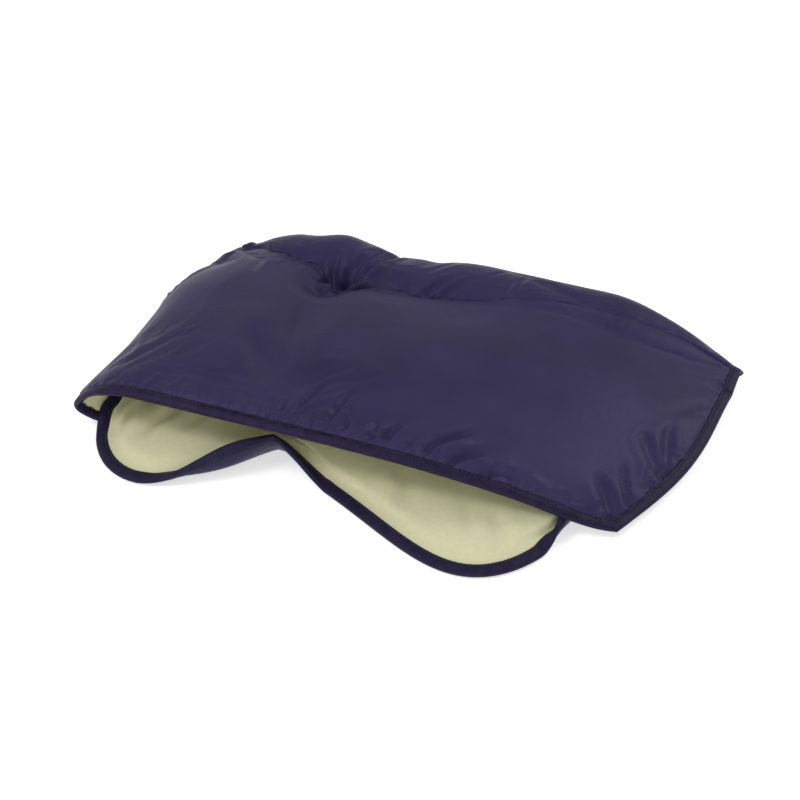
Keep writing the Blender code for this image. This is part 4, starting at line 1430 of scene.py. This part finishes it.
def fleece_material(colour):
    """Short, dense fleece with a soft nap."""
    soft = {"Sheen_Weight": 0.4, "Sheen_Roughness": 0.6, "Specular_IOR_Level": 0.2}
    return napped("fleece", colour, 1400.0, 0.65, (0.95, 0.95, 0.91), 0.45, 0.0004, **soft)


def wadding_material(colour):
    """Loose fibres."""
    return napped("wadding_fibre", colour, 900.0, 0.7, 0.85, 0.7, 0.001)


def thread_material(colour):
    """Twisted sewing thread."""
    made, tree, shader, coords = new_material("thread", 0.45, Sheen_Weight=0.3)
    toned(tree, shader, noise_node(tree, coords["Object"], 2500.0), 0.3, 0.7, colour, 0.7)
    return made


def metal_material(colour):
    """Nickel plate with fine rubbing marks."""
    made, tree, shader, coords = new_material("nickel_plate", 0.28, Metallic=1.0)
    marks = noise_node(tree, coords["Object"], 900.0, Detail=4.0)
    toned(tree, shader, marks, 0.35, 0.65, colour, 0.8)
    tree.links.new(range_node(tree, marks, 0.0, 1.0, 0.2, 0.42), shader.inputs["Roughness"])
    return made


def material(build, colour):
    """The material that this function builds, made once."""
    if build.__name__ not in MATERIALS:
        MATERIALS[build.__name__] = build(tuple(colour))
    return MATERIALS[build.__name__]


# Panels


def edge_gathers(net, settings):
    """Gathers along the front edge and both sides of a panel."""
    across, along = lengths(net, 0), lengths(net, 1)
    sides = ((along, across[:, :1]), (across, along[:1]), (across[-1:] - across, along[-1:]))
    field = np.zeros(net.shape[:2])
    for number, ((away, place), (reach, part)) in enumerate(zip(sides, EDGE_GATHERS)):
        place = np.broadcast_to(place, away.shape)
        height = part * settings.gather_height
        field += gathers(away, place, settings.gather_spacing, reach, height, EDGE_SEED + number)
    return field


def layers(net, stations, seam, loft, facing, folds):
    """Inner face of the wadding, normals and seats of a panel, where its folds press right through."""
    seat = seats(net)
    normal = normals(net, facing, seat)
    room = wadding_room(net, stations, seam, loft, seat)
    sunk = np.minimum(0, folds * (1 - seat) + SUNK_SHARE * room)
    inner = net + normal * (sunk - SHELL_THICKNESS - room + LAYER_GAP)[..., None]
    return inner, normal, seat


def puffed(name, outer, inner, normal, settings, fine, free):
    """The outer face after its cloth has settled over the wadding, with its fine gathers."""
    slack = np.full(outer[::2, ::2].shape[:2], settings.slack)
    moved = doubled(settled(name, outer[::2, ::2], inner[::2, ::2], slack))
    outer = outer + moved * free[..., None]
    outer = outer + normal * (fine * free)[..., None]
    thick = ((outer - inner) * normal).sum(axis=2)
    short = np.maximum(0, SHELL_THICKNESS - thick)
    return outer + normal * short[..., None]


def top_surface(settings):
    """The outer face of the upper and back panels, and the row where their outer pads meet."""
    if "top" not in SURFACES:
        xs = columns(COLUMNS)
        seam = seam_stations(xs)
        upper = spread(np.zeros_like(seam), seam, UPPER_ROWS)
        back = spread(seam, np.full_like(seam, 3), BACK_ROWS)
        stations = np.concatenate([upper, back[:, 1:]], axis=1)
        net = top_net(xs, stations, seam)
        change = eased((seam[:, None] + LOFT_CHANGE - stations) / (2 * LOFT_CHANGE))
        loft = lerp(BACK_LOFT, UPPER_LOFT, change)
        dip = seam_dip(stations, seam, lerp(*SEAM_DIPS, eased((SEAM_DIP_X - xs) / SEAM_DIP_RUN)))
        folds = fold_field(net, [*TOP_FOLDS, *spokes()], settings.fold_depth)
        folds = folds + billows(net, settings.billow_height) + dip
        folds = rim_held(net, folds) * back_held(stations)
        seated = pressed(net, seat_field(net, SEAT_HALF))
        inner, normal, seat = layers(seated, stations, seam, loft, 1, folds)
        parts = seat_field(net, PINCH_HALF, PINCH_SET_BACK, PINCH_FRONT_RUN, PINCH_RUN)
        outer = pressed(net, parts, PINCH_SHARES)
        outward = normals(outer, 1)
        puff = edge_puff(net, stations, seam) * back_held(stations)
        outer = outer + outward * (folds + puff)[..., None]
        thick = ((outer - inner) * normal).sum(axis=2) - SHELL_THICKNESS - LAYER_GAP
        inner = inner + normal * (np.minimum(0, thick) * (1 - seat))[..., None]
        fine = edge_gathers(net, settings) + seam_gathers(net, stations, seam, settings)
        fine = fine + crumples(net, settings.crumple_height)
        outer = puffed("top", outer, inner, outward, settings, fine, back_held(stations))
        SURFACES["top"] = Surface(outer, inner, normal, stations, True)
    return SURFACES["top"]


def edge_puff(net, stations, seam):
    """How far the filling lifts the shell off its bound edges and its seam."""
    away = edge_distance(net)
    edge = np.clip((away - TAPE_WIDTH / 2) / PUFF_RUN, 0, 1)
    along = np.clip(np.abs(from_seam(stations, seam)) / PUFF_RUN, 0, 1)
    return EDGE_PUFF * (1 - (1 - edge) ** 2) - SEAM_PUFF * (1 - along) ** 2 * eased(edge * 2)


def rim_held(net, folds):
    """The folds without any movement of the bound edges."""
    away = edge_distance(net)
    return folds * eased((away - RIM_HOLD * TAPE_WIDTH) / (RIM_FREE * TAPE_WIDTH))


def seam_gathers(net, stations, seam, settings):
    """Gathers on both sides of the seam between the outer pads."""
    across = np.broadcast_to(lengths(net, 0)[:, UPPER_ROWS : UPPER_ROWS + 1], net.shape[:2])
    run = from_seam(stations, seam)
    near = np.exp(-(((net[..., 0] - STUDS[0][0]) / SEAM_GATHER_REACH) ** 2))
    height = SEAM_GATHER_HEIGHT * settings.gather_height * lerp(SEAM_GATHER_SHARE, 1, near)
    spacing = SEAM_GATHER_SPACING * settings.gather_spacing
    field = np.zeros(net.shape[:2])
    for side, seed in zip((-1, 1), SEAM_SEEDS):
        away = np.where(side * run >= 0, np.abs(run), FAR) + TAPE_WIDTH
        field += gathers(away, across, spacing, SEAM_GATHER_RUN, height, seed)
    return field


def lower_surface(settings):
    """The outer face of the lower panel, which lies on the table."""
    if "lower" not in SURFACES:
        net, stations = lower_net(columns(COLUMNS), LOWER_ROWS)
        inner, normal, seat = layers(net, stations, None, LOWER_LOFT, -1, np.zeros(net.shape[:2]))
        deep = LINING_PLUMP * settings.fold_depth
        plump = deep + fold_field(net, LINING_FOLDS, deep)
        plump = plump * eased((edge_distance(net) - TAPE_WIDTH) / PLUMP_RUN) * (1 - seat)
        inner = inner - normal * plump[..., None]
        SURFACES["lower"] = Surface(net, inner, normal, stations, False)
    return SURFACES["lower"]


def lining(name, surface, rows, finish):
    """Fleece over the inner face of a pad, with the size and area that it was cut to."""
    inner, normal = surface.inner[::2, rows][:, ::2], surface.normal[::2, rows][:, ::2]
    front = inner - normal * LAYER_GAP
    away = edge_distance(surface.net)[::2, rows][:, ::2]
    thickness = LINING_THICKNESS * lerp(RIM_PRESS, 1, eased(away / TAPE_WIDTH))
    back = front - normal * thickness[..., None]
    made, _ = pad_mesh(name, back, front, [finish, finish])
    width = lengths(front, 0)[-1].max()
    length = lengths(front, 1)[:, -1].max()
    across, along = np.diff(front, axis=0)[:, :-1], np.diff(front, axis=1)[:-1]
    area = float(np.linalg.norm(np.cross(across, along), axis=2).sum())
    area = min(max(area, LEAST_AREA * width * length), width * length)
    return made, (float(width), float(length)), area


# Sizes and colours that a user would change


def colour_property(name, description, default):
    return FloatVectorProperty(
        name=name, description=description, default=default, subtype="COLOR", size=3, min=0.0, max=1.0
    )


def length_property(name, description, default, most):
    return FloatProperty(
        name=name, description=description, default=default, min=0.0, max=most, unit="LENGTH"
    )


class MuffFolds(bpy.types.PropertyGroup):
    """How the padded panels crease, gather and swell."""

    fold_depth: length_property("Fold depth", "Depth of an ordinary fold of the shell", 0.004, 0.008)
    billow_height: length_property("Billow height", "Height of the wadding's slow swells", 0.0025, 0.006)
    gather_height: length_property("Gather height", "Height of the pleats by the tape", 0.0022, 0.004)
    gather_spacing: length_property("Gather spacing", "Distance between the pleats", 0.010, 0.04)
    crumple_height: length_property("Crumple height", "Height of the front edge's creases", 0.0026, 0.006)
    slack: FloatProperty(
        name="Slack",
        description="Share by which the shell is longer than the wadding that it covers",
        default=0.03,
        min=0.0,
        max=0.1,
    )


class MuffSewing(bpy.types.PropertyGroup):
    """The stitching of the tape."""

    stitch_length: length_property("Stitch length", "Length of thread in each stitch", 0.0026, 0.005)
    stitch_pitch: length_property("Stitch pitch", "Distance from one stitch to the next", 0.0036, 0.01)


class MuffColours(bpy.types.PropertyGroup):
    """Colours of the muff and its stage."""

    shell: colour_property("Shell", "Nylon of the outer pads", (0.032, 0.0262, 0.073))
    tape: colour_property("Tape", "Tape folded over the edges", (0.014, 0.011, 0.032))
    lining: colour_property("Lining", "Fleece inside the muff", (0.66, 0.645, 0.41))
    wadding: colour_property("Wadding", "Fibre filling of the pads", (0.66, 0.64, 0.45))
    thread: colour_property("Thread", "Stitching of the tape", (0.008, 0.007, 0.016))
    metal: colour_property("Press studs", "Plating of the press studs", (0.62, 0.60, 0.57))
    floor: colour_property("Floor", "Table that the muff lies on", (0.88, 0.88, 0.88))


def pad_finishes(colours):
    return [material(shell_material, colours.shell), material(wadding_material, colours.wadding)]


class MUFF_OT_top_pads(bpy.types.Operator):
    """Make the padded shells over the hands and over the handlebar"""

    bl_idname = "muff.top_pads"
    bl_label = "Upper and back pads"

    def execute(self, context):
        scene = context.scene
        surface = top_surface(scene.muff_folds)
        finishes = pad_finishes(scene.muff_colours)
        net, inner = surface.net, surface.inner
        upper, _ = pad_mesh("upper_pad", net[:, : UPPER_ROWS + 1], inner[:, : UPPER_ROWS + 1], finishes)
        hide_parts("upper_shell", "upper_wadding")
        follow(upper, MOUTH)
        back, _ = pad_mesh("back_pad", net[:, UPPER_ROWS:], inner[:, UPPER_ROWS:], finishes)
        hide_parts("back_shell", "back_wadding")
        follow(back, BACK)
        return {"FINISHED"}


class MUFF_OT_lower_pad(bpy.types.Operator):
    """Make the padded shell under the hands, with its two lobes"""

    bl_idname = "muff.lower_pad"
    bl_label = "Lower pad"

    def execute(self, context):
        scene = context.scene
        surface = lower_surface(scene.muff_folds)
        made, _ = pad_mesh("lower_pad", surface.net, surface.inner, pad_finishes(scene.muff_colours))
        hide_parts("lower_shell", "lower_wadding")
        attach(made, "lower_panel")
        return {"FINISHED"}


class MUFF_OT_linings(bpy.types.Operator):
    """Make the fleece linings of the three panels"""

    bl_idname = "muff.linings"
    bl_label = "Fleece linings"

    def execute(self, context):
        scene = context.scene
        finish = material(fleece_material, scene.muff_colours.lining)
        folds = scene.muff_folds
        top, lower = top_surface(folds), lower_surface(folds)

        parts = (
            ("upper_fleece", top, slice(0, UPPER_ROWS + 1), "upper_lining", MOUTH),
            ("back_fleece", top, slice(UPPER_ROWS, None), "back_lining", BACK),
            ("lower_fleece", lower, slice(0, None), "lower_lining", None),
        )
        for name, surface, rows, node, bodies in parts:
            made, flat, area = lining(name, surface, rows, finish)
            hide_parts(node)
            follow(made, bodies)
        return {"FINISHED"}


def tapes(scene):
    """Name, surface, edge, replaced node and bodies of each length of tape."""
    top, lower = top_surface(scene.muff_folds), lower_surface(scene.muff_folds)
    last = top.net.shape[0] - 1
    return (
        ("upper_tape", top, edge_line(top, 1), "upper_binding", MOUTH),
        ("back_tape_left", top, side_line(top, 0, 1), "back_binding_left", BACK),
        ("back_tape_right", top, side_line(top, last, 1), "back_binding_right", BACK),
        ("lower_tape", lower, edge_line(lower, 3), "lower_binding", None),
    )


def follow(piece, bodies):
    """Make a piece move with the lower panel, or, where it lies between two panels, leave it where it is
    with its transform baked.
    """
    if bodies is None:
        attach(piece, "lower_panel")
    else:
        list(bodies[:2])
        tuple(bodies[2])
        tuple(bodies[3])
        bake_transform(piece)


class MUFF_OT_tapes(bpy.types.Operator):
    """Fold the tape over the free edges"""

    bl_idname = "muff.tapes"
    bl_label = "Edge tape"

    def execute(self, context):
        finish = material(tape_material, context.scene.muff_colours.tape)
        for name, surface, cells, node, bodies in tapes(context.scene):
            made = taped(surface, name, cells, finish)
            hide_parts(node)
            follow(made, bodies)
        return {"FINISHED"}


class MUFF_OT_stitching(bpy.types.Operator):
    """Sew the tape down on both sides"""

    bl_idname = "muff.stitching"
    bl_label = "Stitching"

    def execute(self, context):
        sewing = context.scene.muff_sewing
        finish = material(thread_material, context.scene.muff_colours.thread)
        for name, surface, cells, _, bodies in tapes(context.scene):
            length, pitch = sewing.stitch_length, sewing.stitch_pitch
            made = stitched(surface, name.replace("tape", "stitches"), cells, finish, length, pitch)
            follow(made, bodies)
        return {"FINISHED"}


class MUFF_OT_press_studs(bpy.types.Operator):
    """Plate the press studs and their rings"""

    bl_idname = "muff.press_studs"
    bl_label = "Press studs"

    def execute(self, context):
        finish = material(metal_material, context.scene.muff_colours.metal)
        for side in STUD_SIDES:
            for part in ("socket", "socket_ring", "stud", "stud_ring"):
                node = bpy.data.objects[f"{side}_{part}"]
                node.data.materials.clear()
                node.data.materials.append(finish)
        return {"FINISHED"}


# Stage


def aimed(made, place, target):
    """Point a lamp or camera at its target."""
    made.location = place
    made.rotation_euler = (Vector(target) - Vector(place)).to_track_quat("-Z", "Y").to_euler()


def floor_material(colour):
    """A white table with a faint speckle, which keeps shadows and looks white to the camera."""
    made, tree, shader, coords = new_material("white_table", 0.9, Specular_IOR_Level=0.1)
    toned(tree, shader, noise_node(tree, coords["Object"], 60.0), 0.3, 0.7, colour, 0.985)
    shader.inputs["Emission Color"].default_value = (1, 1, 1, 1)
    path = add_node(tree, "ShaderNodeLightPath").outputs
    seen = math_node(tree, "MAXIMUM", path["Is Camera Ray"], path["Is Glossy Ray"])
    seen = math_node(tree, "MAXIMUM", seen, path["Is Transmission Ray"])
    glow = math_node(tree, "MULTIPLY", seen, FLOOR_GLOW)
    tree.links.new(glow, shader.inputs["Emission Strength"])
    return made


class MUFF_OT_stage(bpy.types.Operator):
    """Set the floor, the studio light and the camera"""

    bl_idname = "muff.stage"
    bl_label = "Stage"

    def execute(self, context):
        scene = context.scene
        scene.view_settings.view_transform = "Standard"
        bm = bmesh.new()
        bmesh.ops.create_grid(bm, x_segments=1, y_segments=1, size=FLOOR_HALF)
        mesh = bpy.data.meshes.new("table")
        bm.to_mesh(mesh)
        bm.free()
        mesh.materials.append(material(floor_material, scene.muff_colours.floor))
        table = bpy.data.objects.new("table", mesh)
        scene.collection.objects.link(table)
        world = bpy.data.worlds.new("studio")
        world.use_nodes = True
        scene.world = world
        background = world.node_tree.nodes["Background"]
        background.inputs["Color"].default_value = (1, 1, 1, 1)
        background.inputs["Strength"].default_value = WORLD_LIGHT
        for name, place, size, power in LAMPS:
            light = bpy.data.lights.new(name, "AREA")
            light.shape = "DISK"
            light.size = size
            light.energy = power
            lamp = bpy.data.objects.new(name, light)
            scene.collection.objects.link(lamp)
            aimed(lamp, place, CAMERA_TARGET)
        lens = bpy.data.cameras.new("camera")
        lens.sensor_width = CAMERA_SENSOR
        lens.lens = CAMERA_LENS
        camera = bpy.data.objects.new("camera", lens)
        scene.collection.objects.link(camera)
        turn = Matrix.Rotation(CAMERA_AZIMUTH, 3, "Z") @ Matrix.Rotation(-CAMERA_ELEVATION, 3, "X")
        back = turn @ Vector((0, -CAMERA_DISTANCE, 0))
        aimed(camera, Vector(CAMERA_TARGET) + back, CAMERA_TARGET)
        scene.camera = camera
        return {"FINISHED"}


class MUFF_PT_panel(bpy.types.Panel):
    """The muff's pieces, sizes and colours"""

    bl_idname = "MUFF_PT_panel"
    bl_label = "Hand muff"
    bl_space_type = "VIEW_3D"
    bl_region_type = "UI"
    bl_category = "Hand muff"

    def draw(self, context):
        for group in (context.scene.muff_folds, context.scene.muff_sewing, context.scene.muff_colours):
            box = self.layout.box()
            for label in group.bl_rna.properties.keys():
                if label not in ("rna_type", "name"):
                    box.prop(group, label)
        for operator in OPERATORS:
            self.layout.operator(operator.bl_idname)


OPERATORS = (
    MUFF_OT_top_pads,
    MUFF_OT_lower_pad,
    MUFF_OT_linings,
    MUFF_OT_tapes,
    MUFF_OT_stitching,
    MUFF_OT_press_studs,
    MUFF_OT_stage,
)
CLASSES = (MuffFolds, MuffSewing, MuffColours, *OPERATORS, MUFF_PT_panel)


def register():
    for made in CLASSES:
        bpy.utils.register_class(made)
    bpy.types.Scene.muff_folds = PointerProperty(type=MuffFolds)
    bpy.types.Scene.muff_sewing = PointerProperty(type=MuffSewing)
    bpy.types.Scene.muff_colours = PointerProperty(type=MuffColours)


def unregister():
    del bpy.types.Scene.muff_colours
    del bpy.types.Scene.muff_sewing
    del bpy.types.Scene.muff_folds
    for made in reversed(CLASSES):
        bpy.utils.unregister_class(made)


def main():
    register()
    bpy.ops.muff.top_pads()
    bpy.ops.muff.lower_pad()
    bpy.ops.muff.linings()
    bpy.ops.muff.tapes()
    bpy.ops.muff.stitching()
    bpy.ops.muff.press_studs()
    bpy.ops.muff.stage()


if __name__ == "__main__":
    main()
